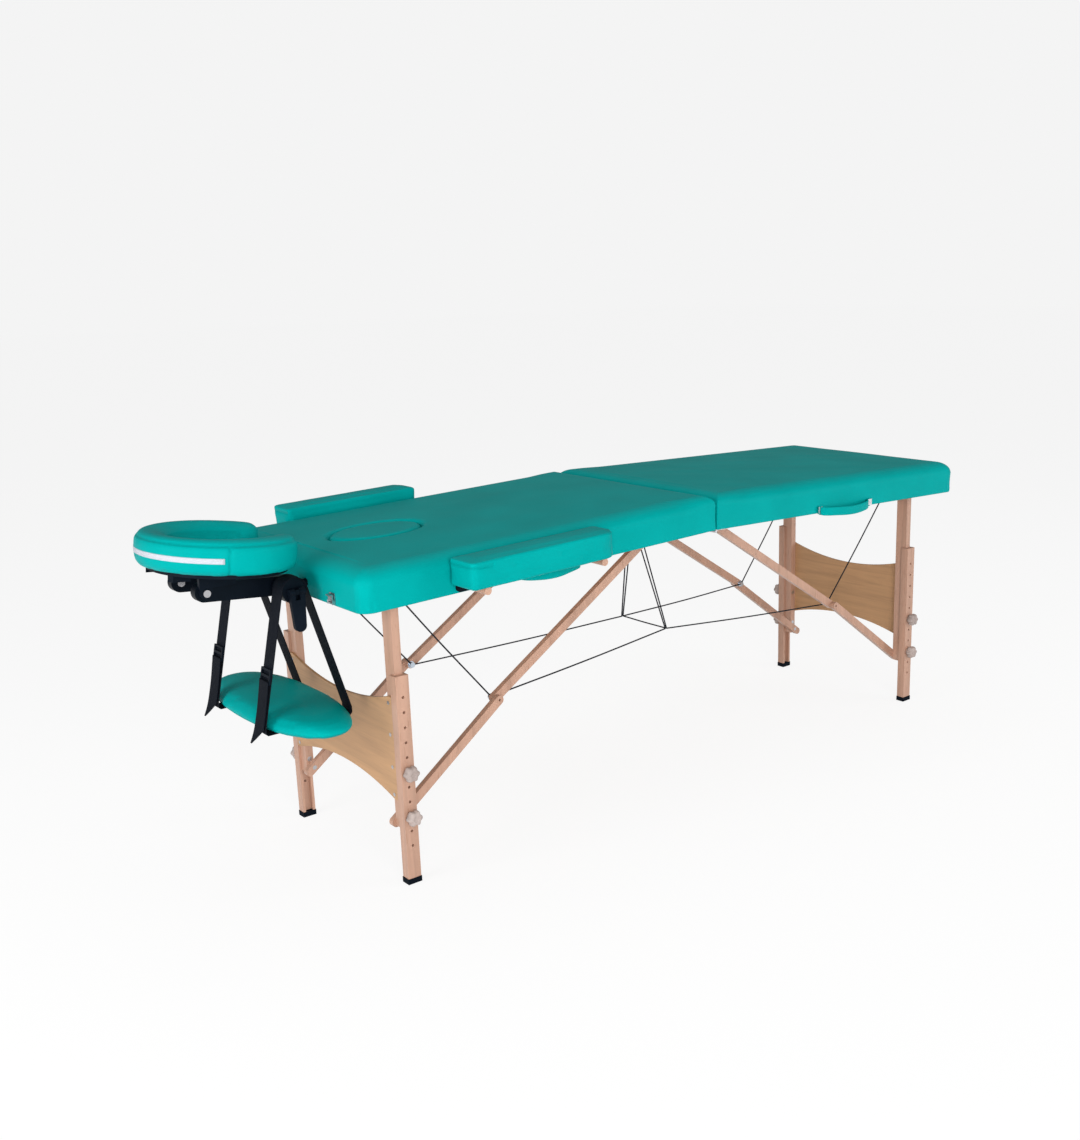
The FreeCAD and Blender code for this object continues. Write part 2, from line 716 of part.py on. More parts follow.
# Latches on the head end, strikers on the foot end
latch_y = (latch_side - latch_wide / 2, latch_side + latch_wide / 2)
latch_plate = box(half_length, half_length + 1.6, latch_y[0], latch_y[1], latch_low, latch_high)
latch_axis = (half_length + 4.6, latch_low + 4.0)
for y0, y1 in ((latch_y[0], latch_y[0] + 2), (latch_y[1] - 2, latch_y[1])):
    ear = box(half_length + 1, half_length + 7.4, y0, y1, latch_low, latch_low + 8)
    latch_plate = latch_plate.fuse(ear).removeSplitter()
latch_plate = latch_plate.cut(rod_y(latch_axis[0], latch_axis[1], latch_y[0] - 1, latch_y[1] + 1,
                                    latch_pin_radius + running_fit))
latch_lever = box(latch_axis[0] - 1.5, latch_axis[0] + 1.5, latch_y[0] + 2.2, latch_y[1] - 2.2,
                  latch_axis[1], latch_high - 2)
latch_barrel = rod_y(latch_axis[0], latch_axis[1], latch_y[0] + 2.2, latch_y[1] - 2.2, 2.6)
latch_pin = rod_y(latch_axis[0], latch_axis[1], latch_y[0], latch_y[1], latch_pin_radius)
latch_lip = box(latch_axis[0] + 1, latch_axis[0] + 6, latch_y[0] + 2.2, latch_y[1] - 2.2,
                latch_high - 4, latch_high - 2)
latch_lever = latch_lever.fuse([latch_barrel, latch_pin, latch_lip]).removeSplitter()
nodes["far_latch_lever"] = [on_head(latch_lever)]
nodes["near_latch_lever"] = [on_head(mirror_y(latch_lever))]
striker = box(half_length, half_length + 1.6, latch_y[0] + 3, latch_y[1] - 3, 2, 16)
striker = striker.fuse(box(half_length + 1, half_length + 5, latch_y[0] + 3, latch_y[1] - 3, 6, 8))
foot_extras = pair(foot_leaf) + handle_plates(foot_handle) + pair(striker.removeSplitter())
head_extras = pair(head_leaf) + handle_plates(head_handle) + pair(latch_plate)
nodes["foot_fittings"] = [on_foot(s) for s in frame_fittings + foot_extras]
nodes["head_fittings"] = [on_head(s) for s in frame_fittings + head_extras]

# Armrests: a board on two dowels that push into the rail, and a padded top


def rest_plan(span, inset, z0, z1):
    x0 = span[0] + inset
    x1 = span[1] - inset
    y0 = rest_inner + inset * 0.5
    y1 = rest_outer - inset
    r = rest_round - inset
    t = rest_tight
    kr = r * (1 - math.sqrt(0.5))
    kt = t * (1 - math.sqrt(0.5))
    edges = [
        Part.makeLine(V(x0, y0, z0), V(x1, y0, z0)),
        Part.makeLine(V(x1, y0, z0), V(x1, y1 - t, z0)),
        Part.Arc(V(x1, y1 - t, z0), V(x1 - kt, y1 - kt, z0), V(x1 - t, y1, z0)).toShape(),
        Part.makeLine(V(x1 - t, y1, z0), V(x0 + r, y1, z0)),
        Part.Arc(V(x0 + r, y1, z0), V(x0 + kr, y1 - kr, z0), V(x0, y1 - r, z0)).toShape(),
        Part.makeLine(V(x0, y1 - r, z0), V(x0, y0, z0)),
    ]
    return Part.Face(Part.Wire(edges)).extrude(V(0, 0, z1 - z0))


def rest_base(span):
    base = rest_plan(span, rest_board_inset, rest_low, rest_low + rest_board)
    for out in dowel_places(span):
        base = base.fuse(rod_y(out, dowel_rise, dowel_inner, rest_outer - 14, dowel_radius))
    return base.removeSplitter()


def rest_cushion(span, rise):
    low = dowel_rise + dowel_radius + part_gap
    top = rest_low + rest_board + rest_pad + rise
    cushion = rest_plan(span, 0, low, top + rest_crown)
    over = arch(rest_inner, rest_outer, low, top - rest_crown, rest_crown, 14, 16,
                lambda a, h: V(span[0], a, h), V(span[1] - span[0], 0, 0))
    length = arch(span[0], span[1], low, top - 2, 2, 16, 16,
                  lambda a, h: V(a, rest_inner, h), V(0, rest_outer - rest_inner, 0))
    cushion = cushion.common(over).common(length)
    return cushion.cut(rest_plan(span, rest_board_inset - part_gap, 0, rest_low + rest_board + part_gap))


def collars(span):
    rings = []
    for out, reach in zip(dowel_places(span), (-collar_reach, collar_reach)):
        ring = bar((out, dowel_rise), (out + reach, dowel_rise), collar_radius,
                   half_width, half_width + collar_thick)
        rings.append(ring.cut(rod_y(out, dowel_rise, half_width - 1, half_width + collar_thick + 1,
                                    dowel_radius + running_fit)))
    return rings


nodes["far_rest_base"] = [on_head(rest_base(far_rest))]
nodes["near_rest_base"] = [on_head(mirror_y(rest_base(near_rest)))]
nodes["far_rest_pad"] = [on_head(rest_cushion(far_rest, far_rest_rise))]
nodes["near_rest_pad"] = [on_head(mirror_y(rest_cushion(near_rest, 0)))]
nodes["rest_collars"] = [on_head(s) for s in collars(far_rest) + [mirror_y(c) for c in collars(near_rest)]]

# Cradle bracket: two posts with a hub each, on a through axle
hubs = []
for side in (1, -1):
    ends = sorted((side * hub_lane[0], side * hub_lane[1]))
    hub = rod_y(drum_out, drum_rise, ends[0], ends[1], hub_radius)
    hub = hub.fuse(rod_x(side * post_side, drum_rise, post_end, drum_out - 5, post_radius)).removeSplitter()
    hubs.append(hub.cut(rod_y(drum_out, drum_rise, ends[0] - 1, ends[1] + 1, axle_radius + fixed_fit)))
# Drums on the axle, with a cap at its far end and an eye for the cam lever at the near end
drum = rod_y(drum_out, drum_rise, drum_lane[0], drum_lane[1], drum_radius)
drum = drum.cut(rod_y(drum_out, drum_rise, drum_lane[0] - 1, drum_lane[1] + 1, axle_radius + fixed_fit))
lever_y = -(drum_lane[1] + lever_thick / 2 + 3)
axle = rod_y(drum_out, drum_rise, -drum_lane[1] - 1, drum_lane[1] + 1, axle_radius)
axle_cap = rod_y(drum_out, drum_rise, drum_lane[1] + 0.1, drum_lane[1] + 4, axle_radius + 4)
eye_half = lever_slot / 2 - 1
near_eye = box(drum_out - eye_half, drum_out + eye_half, lever_y - 6, -drum_lane[1] - 0.1,
               drum_rise - 5, drum_rise + 5)
axle = axle.fuse([axle_cap, near_eye]).removeSplitter()
axle = axle.cut(rod_x(lever_y, drum_rise, drum_out - 20, drum_out + 20,
                      lever_pin_radius + running_fit))
nodes["cradle_bracket"] = [on_head(s) for s in hubs + pair(drum) + [axle]]

# Cam lever on a cross pin in the axle's eye
lever_half = lever_thick / 2
cheek_y = (lever_y - lever_half, lever_y + lever_half)
lever = prism([V(drum_out - lever_top / 2, cheek_y[0], drum_rise),
               V(drum_out + lever_top / 2, cheek_y[0], drum_rise),
               V(drum_out + lever_tip / 2, cheek_y[0], drum_rise - lever_length + lever_tip / 2),
               V(drum_out - lever_tip / 2, cheek_y[0], drum_rise - lever_length + lever_tip / 2)],
              V(0, lever_thick, 0))
lever_end = rod_y(drum_out, drum_rise - lever_length + lever_tip / 2, cheek_y[0], cheek_y[1], lever_tip / 2)
lever_head = rod_x(lever_y, drum_rise, drum_out - lever_top / 2, drum_out + lever_top / 2, lever_half + 2)
lever = lever.fuse([lever_end, lever_head]).removeSplitter()
lever = lever.cut(box(drum_out - lever_slot / 2, drum_out + lever_slot / 2, lever_y - 20, lever_y + 20,
                      drum_rise - 16, drum_rise + 20))
lever = lever.fuse(rod_x(lever_y, drum_rise, drum_out - lever_top / 2, drum_out + lever_top / 2,
                         lever_pin_radius)).removeSplitter()
nodes["cam_lever"] = [on_head(lever)]

# Cradle arms
drum_world = half_to_world(drum_out, drum_rise)
drum_x = -drum_world[0]
drum_z = drum_world[1]
tilt_x = drum_x - arm_reach
tilt_z = drum_z + arm_lift
cushion_x = drum_x - cushion_reach
cushion_z = drum_z + cushion_lift
tail_share = arm_tail / arm_reach
arm_back = (drum_x + arm_tail, drum_z - arm_lift * tail_share)
arm = bar(arm_back, (tilt_x, tilt_z), arm_half, arm_lane[0], arm_lane[1])
arm = arm.cut(rod_y(drum_x, drum_z, arm_lane[0] - 1, arm_lane[1] + 1, axle_radius + running_fit))
arm = arm.cut(rod_y(tilt_x, tilt_z, arm_lane[0] - 1, arm_lane[1] + 1, tilt_bolt_radius + fixed_fit))
nodes["cradle_arms"] = pair(arm)
tilt_bolt = rod_y(tilt_x, tilt_z, arm_lane[0] - 3, lug_lane[1] + 3, tilt_bolt_radius)
for y0, y1 in ((arm_lane[0] - 3.4, arm_lane[0] - 0.2), (lug_lane[1] + 0.2, lug_lane[1] + 3.4)):
    tilt_bolt = tilt_bolt.fuse(rod_y(tilt_x, tilt_z, y0, y1, tilt_bolt_radius * 1.8)).removeSplitter()
nodes["cradle_bolts"] = pair(tilt_bolt)


# Cradle platform and cushion, drawn level about the cushion's middle and then tilted
def tilted(shape):
    placed = shape.copy()
    placed.rotate(V(0, 0, 0), V(0, 1, 0), cushion_tilt)
    placed.translate(V(cushion_x, 0, cushion_z))
    return placed


def oval(long, wide, z0, z1):
    if long >= wide:
        edge = Part.Ellipse(V(0, 0, z0), long, wide).toShape()
    else:
        edge = Part.Ellipse(V(0, wide, z0), V(long, 0, z0), V(0, 0, z0)).toShape()
    return Part.Face(Part.Wire([edge])).extrude(V(0, 0, z1 - z0))


outer_long = cushion_long + cushion_half - plate_inset
outer_wide = cushion_wide + cushion_half - plate_inset
plate = oval(outer_long, outer_wide, -plate_thick, -part_gap)
plate = plate.cut(rod(V(0, 0, -plate_thick - 1), V(0, 0, 1), plate_hole))
plate = plate.cut(box(0, 2 * outer_long, -lug_lane[1], lug_lane[1], -plate_thick - 1, 1))
rib_x = (-outer_long * 0.95, tilt_x - arm_half - 3 - cushion_x)
for side in (1, -1):
    ends = sorted((side * (arm_lane[0] + 8), side * arm_lane[1]))
    rib = box(rib_x[0], rib_x[1], ends[0], ends[1], -plate_thick - 12, -plate_thick + 2)
    plate = plate.fuse(rib.common(oval(outer_long, outer_wide, -60, 60)))
platform = tilted(plate)
for side in (1, -1):
    ends = sorted((side * lug_lane[0], side * lug_lane[1]))
    lug = bar((tilt_x, tilt_z), (tilt_x + 3, tilt_z + 18), lug_radius, ends[0], ends[1])
    web = box(tilt_x - lug_radius, tilt_x + lug_web, ends[0], ends[1], tilt_z + 9, tilt_z + outer_long)
    slab = tilted(box(-2 * outer_long, outer_long, -outer_wide, outer_wide, -outer_long, -plate_thick / 2))
    platform = platform.fuse(lug.fuse(web).common(slab))
platform = platform.removeSplitter()
for side in (1, -1):
    platform = platform.cut(rod_y(tilt_x, tilt_z, *sorted((side * arm_lane[1], side * (lug_lane[1] + 2))),
                                  tilt_bolt_radius + running_fit))
nodes["cradle_platform"] = [platform]


def ring_section(angle, outline, scale):
    a = math.radians(angle)
    centre = V(cushion_long * math.cos(a), cushion_wide * math.sin(a), 0)
    outward = V(cushion_wide * math.cos(a), cushion_long * math.sin(a), 0)
    outward.normalize()
    points = []
    middle = cushion_height * 0.45
    for off, height in outline:
        points.append(centre + outward * (off * scale) + V(0, 0, middle + (height - middle) * scale))
    return points


def spline_wire(points):
    curve = Part.BSplineCurve()
    curve.interpolate(points, PeriodicFlag=True)
    return Part.Wire([curve.toShape()])


h = cushion_height
w = cushion_half
cushion_outline = [(0, 0), (w * 0.62, 0.6), (w * 0.94, h * 0.17), (w, h * 0.45), (w * 0.93, h * 0.78),
                   (w * 0.6, h * 0.97), (0, h), (-w * 0.6, h * 0.93), (-w * 0.95, h * 0.7),
                   (-w, h * 0.4), (-w * 0.92, h * 0.13), (-w * 0.6, 0.6)]
gap = cushion_gap_angle
section_angles = [gap - 13, gap - 9]
section_scales = [0.55, 0.82]
steps = 16
for i in range(steps + 1):
    section_angles.append(gap + (360 - 2 * gap) * i / steps)
    section_scales.append(1.0)
section_angles += [360 - gap + 9, 360 - gap + 13]
section_scales += [0.82, 0.55]
sections = [spline_wire(ring_section(a, cushion_outline, s)) for a, s in zip(section_angles, section_scales)]
cushion = Part.makeLoft(sections, True, False)
cushion.translate(V(0, 0, -cushion.optimalBoundingBox().ZMin))
nodes["cradle_cushion"] = [tilted(cushion)]

# Tape band on the cushion's outer side
tape_sections = []
tape_steps = 8
for i in range(tape_steps + 1):
    angle = tape_from + (tape_to - tape_from) * i / tape_steps
    off = w + 0.5
    rect = [(off, tape_low), (off + tape_thick, tape_low), (off + tape_thick, tape_high), (off, tape_high)]
    points = ring_section(angle, rect, 1.0)
    tape_sections.append(Part.makePolygon(points + [points[0]]))
nodes["cradle_tape"] = [tilted(Part.makeLoft(tape_sections, True, False))]


# Arm shelf
shelf_x = drum_x - shelf_reach


def shelf_edge(y, inset):
    share = 1 - abs(y / (shelf_half_y - inset)) ** shelf_power
    return (shelf_half_x - inset) * max(share, 0) ** (1 / shelf_power)


def shelf_plan(inset, z0, z1):
    points = []
    for i in range(40):
        a = 2 * math.pi * i / 40
        x = math.copysign(abs(math.cos(a)) ** (2 / shelf_power), math.cos(a)) * (shelf_half_x - inset)
        y = math.copysign(abs(math.sin(a)) ** (2 / shelf_power), math.sin(a)) * (shelf_half_y - inset)
        points.append(V(shelf_x + x, y, z0))
    curve = Part.BSplineCurve()
    curve.interpolate(points, PeriodicFlag=True)
    return Part.Face(Part.Wire([curve.toShape()])).extrude(V(0, 0, z1 - z0))


nodes["shelf_board"] = [shelf_plan(board_inset, shelf_bottom, shelf_bottom + board_thick)]
shelf_pad = shelf_plan(0, shelf_bottom, shelf_top + shelf_crown)
brim_x = shelf_half_x + shelf_brim
brim_y = shelf_half_y + shelf_brim
shelf_over = arch(-brim_y, brim_y, shelf_bottom - 1, shelf_top, shelf_crown, 14, 14,
                  lambda a, z: V(shelf_x - brim_x, a, z), V(2 * brim_x, 0, 0), 4.0)
shelf_along = arch(shelf_x - brim_x, shelf_x + brim_x, shelf_bottom - 1, shelf_top, shelf_crown, 14, 14,
                   lambda a, z: V(a, -brim_y, z), V(0, 2 * brim_y, 0), 2.0)
shelf_pad = shelf_pad.common(shelf_over).common(shelf_along)
board_room = shelf_plan(board_inset - part_gap, shelf_bottom - 1, shelf_bottom + board_thick + part_gap)
nodes["shelf_pad"] = [shelf_pad.cut(board_room)]


# Webbing straps over the drums, down the front and back of the shelf and in under its board
def touch_angle(point, side):
    reach = distance((drum_x, drum_z), point)
    base = math.atan2(point[1] - drum_z, point[0] - drum_x)
    return base + side * math.acos(strap_path_radius / reach)


strap_path_radius = drum_radius + 0.5 + strap_thick / 2
strap_y = (strap_side - strap_wide / 2, strap_side + strap_wide / 2)
strap_out = shelf_edge(strap_y[0], 0) + 1.5 + strap_thick / 2
strap_low = shelf_bottom - 0.4 - strap_thick / 2
front_edge = (shelf_x - strap_out, shelf_top - 4)
back_edge = (shelf_x + strap_out, shelf_top - 4)
front_angle = touch_angle(front_edge, -1) + 2 * math.pi
back_angle = touch_angle(back_edge, 1)
strap_path = [(front_edge[0] + strap_under, strap_low), (front_edge[0], strap_low), front_edge]
wrap_steps = 16
for i in range(wrap_steps + 1):
    a = front_angle + (back_angle - front_angle) * i / wrap_steps
    strap_path.append((drum_x + strap_path_radius * math.cos(a), drum_z + strap_path_radius * math.sin(a)))
strap_path += [back_edge, (back_edge[0], strap_low), (back_edge[0] - strap_under, strap_low)]
strap = prism_y(ribbon_outline(strap_path, strap_thick), strap_y[0], strap_y[1])

# Ladder buckles on the front straps, with the strap tails hanging from them
front_top = strap_path[3]
run_x = front_edge[0] - front_top[0]
run_z = front_edge[1] - front_top[1]
run_length = math.hypot(run_x, run_z)
down = (run_x / run_length, run_z / run_length)
outside = (down[1], -down[0])
share = (front_top[1] - buckle_height) / (front_top[1] - front_edge[1])
on_strap = (front_top[0] + run_x * share, front_top[1] + run_z * share)


def off_strap(along, out):
    return on_strap[0] + down[0] * along + outside[0] * out, on_strap[1] + down[1] * along + outside[1] * out


buckle_in = strap_thick / 2 + 0.3
buckle_out = buckle_in + buckle_thick
half = buckle_long / 2
buckle_side = (strap_side - buckle_wide / 2, strap_side + buckle_wide / 2)
frame_outline = [off_strap(-half, buckle_in), off_strap(half, buckle_in),
                 off_strap(half, buckle_out), off_strap(-half, buckle_out)]
buckle = prism_y(frame_outline, buckle_side[0], buckle_side[1])
for start in (-half + 4, 2):
    window = [off_strap(start, buckle_in - 1), off_strap(start + 8, buckle_in - 1),
              off_strap(start + 8, buckle_out + 1), off_strap(start, buckle_out + 1)]
    buckle = buckle.cut(prism_y(window, strap_y[0], strap_y[1]))
nodes["shelf_buckles"] = pair(buckle)
tail_path = [off_strap(half - 6, buckle_out + 0.3 + strap_thick / 2), off_strap(half + 45, buckle_in + 3),
             off_strap(half + 92, buckle_in + 8), off_strap(half + 122, buckle_in + 18)]
tail = prism_y(ribbon_outline(tail_path, strap_thick), strap_y[0], strap_y[1])
nodes["shelf_straps"] = pair(strap) + pair(tail)

# The whole is set with its origin under the middle of its outline, on the floor
bounds = FreeCAD.BoundBox()
for shapes in nodes.values():
    for shape in shapes:
        bounds.add(shape.BoundBox)
origin_shift = V(-bounds.Center.x, -bounds.Center.y, -bounds.ZMin)
for name, shapes in nodes.items():
    for shape in shapes:
        shape.translate(origin_shift)
    Part.makeCompound(shapes).exportStep("parts/" + name + ".step")
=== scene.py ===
import itertools
import math

import bmesh
import bpy
import numpy as np
from mathutils import Matrix, Vector
from mathutils.bvhtree import BVHTree


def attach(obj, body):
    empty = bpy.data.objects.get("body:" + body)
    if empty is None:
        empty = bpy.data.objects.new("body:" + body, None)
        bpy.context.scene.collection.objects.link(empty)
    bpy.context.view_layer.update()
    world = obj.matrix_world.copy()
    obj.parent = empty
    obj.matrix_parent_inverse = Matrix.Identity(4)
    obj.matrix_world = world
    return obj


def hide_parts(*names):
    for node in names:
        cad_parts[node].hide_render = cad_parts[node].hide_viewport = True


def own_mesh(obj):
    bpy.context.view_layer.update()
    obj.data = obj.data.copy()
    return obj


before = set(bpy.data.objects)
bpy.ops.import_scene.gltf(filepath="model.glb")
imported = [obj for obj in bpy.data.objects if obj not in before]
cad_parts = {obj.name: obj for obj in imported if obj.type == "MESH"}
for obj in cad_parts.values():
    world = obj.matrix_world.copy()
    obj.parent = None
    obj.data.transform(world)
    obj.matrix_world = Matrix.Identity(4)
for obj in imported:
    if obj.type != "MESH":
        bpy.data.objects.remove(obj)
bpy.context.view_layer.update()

bl_info = {
    "name": "Folding massage table",
    "version": (1, 0, 0),
    "blender": (4, 5, 0),
    "location": "3D View > Sidebar > Table",
    "description": "Covers, cushions, cords and finishes of a folding massage table",
    "category": "Object",
}

# Sizes of the frame that the covers and cords fit, in metres. The hinge stands at SHIFT in the frame.
SHIFT = np.array([0.1549337, 0.0, 0.0])
SLOPE = math.radians(1.65)
HINGE_HEIGHT = 0.627
PIN_DROP = 0.004
HALF_LENGTH = 0.930
HALF_WIDTH = 0.300
BUTT_GAP = 0.0015
RAIL_DEPTH = 0.048
DECK_TOP = 0.052
PAD_EDGE = 0.080
FACE_OUT = 0.720
FACE_LONG = 0.105
FACE_SHORT = 0.071
DRUM_OUT = 0.9795
DRUM_RISE = 0.028
DRUM_RADIUS = 0.025
KNEE_OUT, KNEE_SIDE, KNEE_RISE = 0.5673, 0.1625, -0.2917
LEG_X = 0.823
NEAR, FAR = -1.0, 1.0
FOOT, HEAD = 1.0, -1.0
SIDES = ((NEAR, "near"), (FAR, "far"))
ENDS = ((FOOT, "foot"), (HEAD, "head"))
FULL_TURN = 2 * math.pi


def on_half(points, end):
    """Points of a flat half (out from the hinge, across, up from the rails) at its slope in the frame."""
    p = np.asarray(points, float)
    rise = p[..., 2] + PIN_DROP
    x = end * (p[..., 0] * math.cos(SLOPE) + rise * math.sin(SLOPE))
    z = HINGE_HEIGHT - p[..., 0] * math.sin(SLOPE) + rise * math.cos(SLOPE)
    return np.stack([x, p[..., 1], z], -1) + SHIFT


def off_half(points, end):
    """The reverse of on_half."""
    p = np.asarray(points, float) - SHIFT
    along, rise = end * p[..., 0], p[..., 2] - HINGE_HEIGHT
    out = along * math.cos(SLOPE) - rise * math.sin(SLOPE)
    up = along * math.sin(SLOPE) + rise * math.cos(SLOPE) - PIN_DROP
    return np.stack([out, p[..., 1], up], -1)


def half_normal(end):
    """The direction square to a half's deck, as it stands at its slope."""
    return on_half([0.0, 0.0, 1.0], end) - on_half([0.0, 0.0, 0.0], end)


# Small formulas
def smooth_step(a, b, x):
    """Runs from 0 at a to 1 at b along a cubic with level ends."""
    t = np.clip((np.asarray(x, float) - a) / (b - a), 0.0, 1.0)
    return t * t * (3.0 - 2.0 * t)


def bell(distance, width):
    """A bell curve: 1 at no distance, falling to 1/e at the width."""
    return np.exp(-((distance / width) ** 2))


def blunt(wave, power):
    """A sine or cosine raised to a power with its sign kept; under 1 it squares off a round outline."""
    return np.sign(wave) * np.abs(wave) ** power


def unit(vectors):
    """Vectors along the last axis, each brought to length 1."""
    return vectors / np.maximum(np.linalg.norm(vectors, axis=-1, keepdims=True), 1e-6)


def round_turn(count):
    """Bearings once round in even steps, without the last, which would meet the first."""
    return np.linspace(0, FULL_TURN, count, endpoint=False)


def distance_along(path):
    """Distance along a path from its first point to each of its points."""
    return np.concatenate([[0.0], np.cumsum(np.linalg.norm(np.diff(path, axis=0), axis=1))])


def ripple(u, v, seed, waves=5):
    """A slow uneven wave over (u, v): the mean of a few sines with lengths and turns from the seed."""
    rng = np.random.default_rng(seed)
    total = np.zeros(np.broadcast(u, v).shape)
    for _ in range(waves):
        turn = rng.uniform(0, FULL_TURN)
        length = rng.uniform(0.06, 0.22)
        phase = rng.uniform(0, FULL_TURN)
        total += np.sin(FULL_TURN * (u * math.cos(turn) + v * math.sin(turn)) / length + phase)
    return total / waves


def quarter_arc(x, y, radius, start, count, last=True):
    """A quarter circle in plan about (x, y) from a bearing in degrees, with or without its last point."""
    t = np.radians(start + np.linspace(0, 90, count, endpoint=last))
    return np.stack([x + radius * np.cos(t), y + radius * np.sin(t)], -1)


def at_height(flat, z):
    """Points in plan set at a height, one for all or one for each."""
    return np.column_stack([flat, np.broadcast_to(z, len(flat))])


def scaled_rings(outline, profile):
    """Rings of a pad: its outline in plan, shrunk to each share of the profile and set at that height."""
    return np.stack([at_height(outline * share, z) for share, z in profile])


# Meshes from grids of points
def ring_faces(rings, count):
    """Corner numbers of the quads between neighbours in a stack of closed rings of count points."""
    i, j = np.meshgrid(np.arange(rings - 1), np.arange(count), indexing="ij")
    this, following = i * count, (i + 1) * count
    beside = (j + 1) % count
    corners = [this + j, following + j, following + beside, this + beside]
    return np.stack(corners, -1).reshape(-1, 4).tolist()


def grid_map(across, run):
    """A map for a grid of points: its place across the band and its distance along it."""
    return np.stack(np.broadcast_arrays(across, run[:, None]), -1)


def new_piece(name, points, faces, material, uv=None):
    """A smooth mesh object from its points and faces, with doubles merged and faces turned outwards. Its
    map comes from each point's uv."""
    mesh = bpy.data.meshes.new(name)
    mesh.from_pydata(np.reshape(points, (-1, 3)).tolist(), [], faces)
    mesh.update()
    if uv is not None:
        layer = mesh.uv_layers.new(name="UVMap")
        corner = np.empty(len(mesh.loops), np.int32)
        mesh.loops.foreach_get("vertex_index", corner)
        layer.data.foreach_set("uv", np.asarray(uv, np.float32).reshape(-1, 2)[corner].ravel())
    tidy = bmesh.new()
    tidy.from_mesh(mesh)
    bmesh.ops.remove_doubles(tidy, verts=tidy.verts, dist=1e-6)
    bmesh.ops.recalc_face_normals(tidy, faces=tidy.faces)
    tidy.to_mesh(mesh)
    tidy.free()
    all_smooth(mesh)
    mesh.materials.append(material)
    obj = bpy.data.objects.new(name, mesh)
    bpy.context.scene.collection.objects.link(obj)
    return obj


def all_smooth(mesh):
    """Shades every face smooth."""
    mesh.polygons.foreach_set("use_smooth", np.ones(len(mesh.polygons), bool))


def shell(name, rings, material):
    """A surface over a stack of closed rings."""
    return new_piece(name, rings, ring_faces(*rings.shape[:2]), material)


def capped(name, rings, material, uv=None):
    """A surface over a stack of closed rings, with one face over each end."""
    count, sides = rings.shape[:2]
    caps = [list(range(sides)), list(range((count - 1) * sides, count * sides))]
    return new_piece(name, rings, ring_faces(count, sides) + caps, material, uv)


def tube(name, path, radius, material, sides=10):
    """A round tube along a path: rings square to the path, each turned as little as possible from the
    last. Its map counts turns round the tube and metres along it."""
    along = unit(np.gradient(path, axis=0))
    not_along = [0.3, 0.2, 0.93]
    side = np.cross(along[0], not_along)
    angle = round_turn(sides)[:, None]
    rings = []
    for p, t in zip(path, along):
        side = unit(side - t * side.dot(t))
        rings.append(p + radius * (np.cos(angle) * side + np.sin(angle) * np.cross(t, side)))
    uv = grid_map(np.arange(sides) / sides, distance_along(path))
    return capped(name, np.array(rings), material, uv)


def ribbon(name, path, across, width, thick, material, rounding, sides=16):
    """A flat band along a path: its section is a squared-off oval, wide along across and thin along the
    path's normal, and squarer for a lower rounding. Its map counts metres across and along it."""
    across = np.broadcast_to(np.asarray(across, float), path.shape)
    normal = unit(np.cross(unit(np.gradient(path, axis=0)), across))
    width, thick = (np.broadcast_to(size, len(path))[:, None] for size in (width, thick))
    angle = round_turn(sides)
    wide = blunt(np.cos(angle), 0.35 * rounding) * width / 2
    deep = blunt(np.sin(angle), 0.6 * rounding) * thick / 2
    rings = path[:, None] + across[:, None] * wide[..., None] + normal[:, None] * deep[..., None]
    return capped(name, rings, material, grid_map(wide, distance_along(path)))


def spline_path(points, resolution=12):
    """Points along a smooth curve that has the given points as its control points."""
    curve = bpy.data.curves.new("route", "CURVE")
    curve.dimensions = "3D"
    spline = curve.splines.new("NURBS")
    spline.points.add(len(points) - 1)
    for target, p in zip(spline.points, points):
        target.co = (*map(float, p), 1.0)
    spline.order_u = 3
    spline.use_endpoint_u = True
    spline.resolution_u = resolution
    obj = bpy.data.objects.new("route", curve)
    bpy.context.scene.collection.objects.link(obj)
    mesh = bpy.data.meshes.new_from_object(obj)
    path = mesh_points(mesh)
    bpy.data.objects.remove(obj)
    bpy.data.curves.remove(curve)
    bpy.data.meshes.remove(mesh)
    return path


def mesh_points(mesh):
    """The mesh's points as an array."""
    flat = np.empty(len(mesh.vertices) * 3)
    mesh.vertices.foreach_get("co", flat)
    return flat.reshape(-1, 3)


def set_points(obj, points):
    """Moves the object's points to an array of new places."""
    obj.data.vertices.foreach_set("co", np.asarray(points, float).ravel())
    obj.data.update()


def declare(obj, body, node):
    """Says what a piece rides on and hides the part that it stands in for."""
    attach(obj, body)
    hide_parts(node)


# Cushions
AIR_FRAMES = 20
AIR_SETTINGS = {
    "quality": 4,
    "mass": 0.3,
    "tension_stiffness": 12,
    "compression_stiffness": 12,
    "shear_stiffness": 6,
    "bending_stiffness": 0.6,
    "use_pressure": True,
    "uniform_pressure_force": 4.0,
}
SEAM_DEPTH, SEAM_WIDTH = 0.0014, 0.004
NO_SEAM = 0.3


def apply_modifiers(obj):
    """Gives the object the mesh that its modifiers make, and clears them."""
    view = bpy.context.evaluated_depsgraph_get()
    made = bpy.data.meshes.new_from_object(obj.evaluated_get(view))
    old = obj.data
    obj.modifiers.clear()
    obj.data = made
    bpy.data.meshes.remove(old)


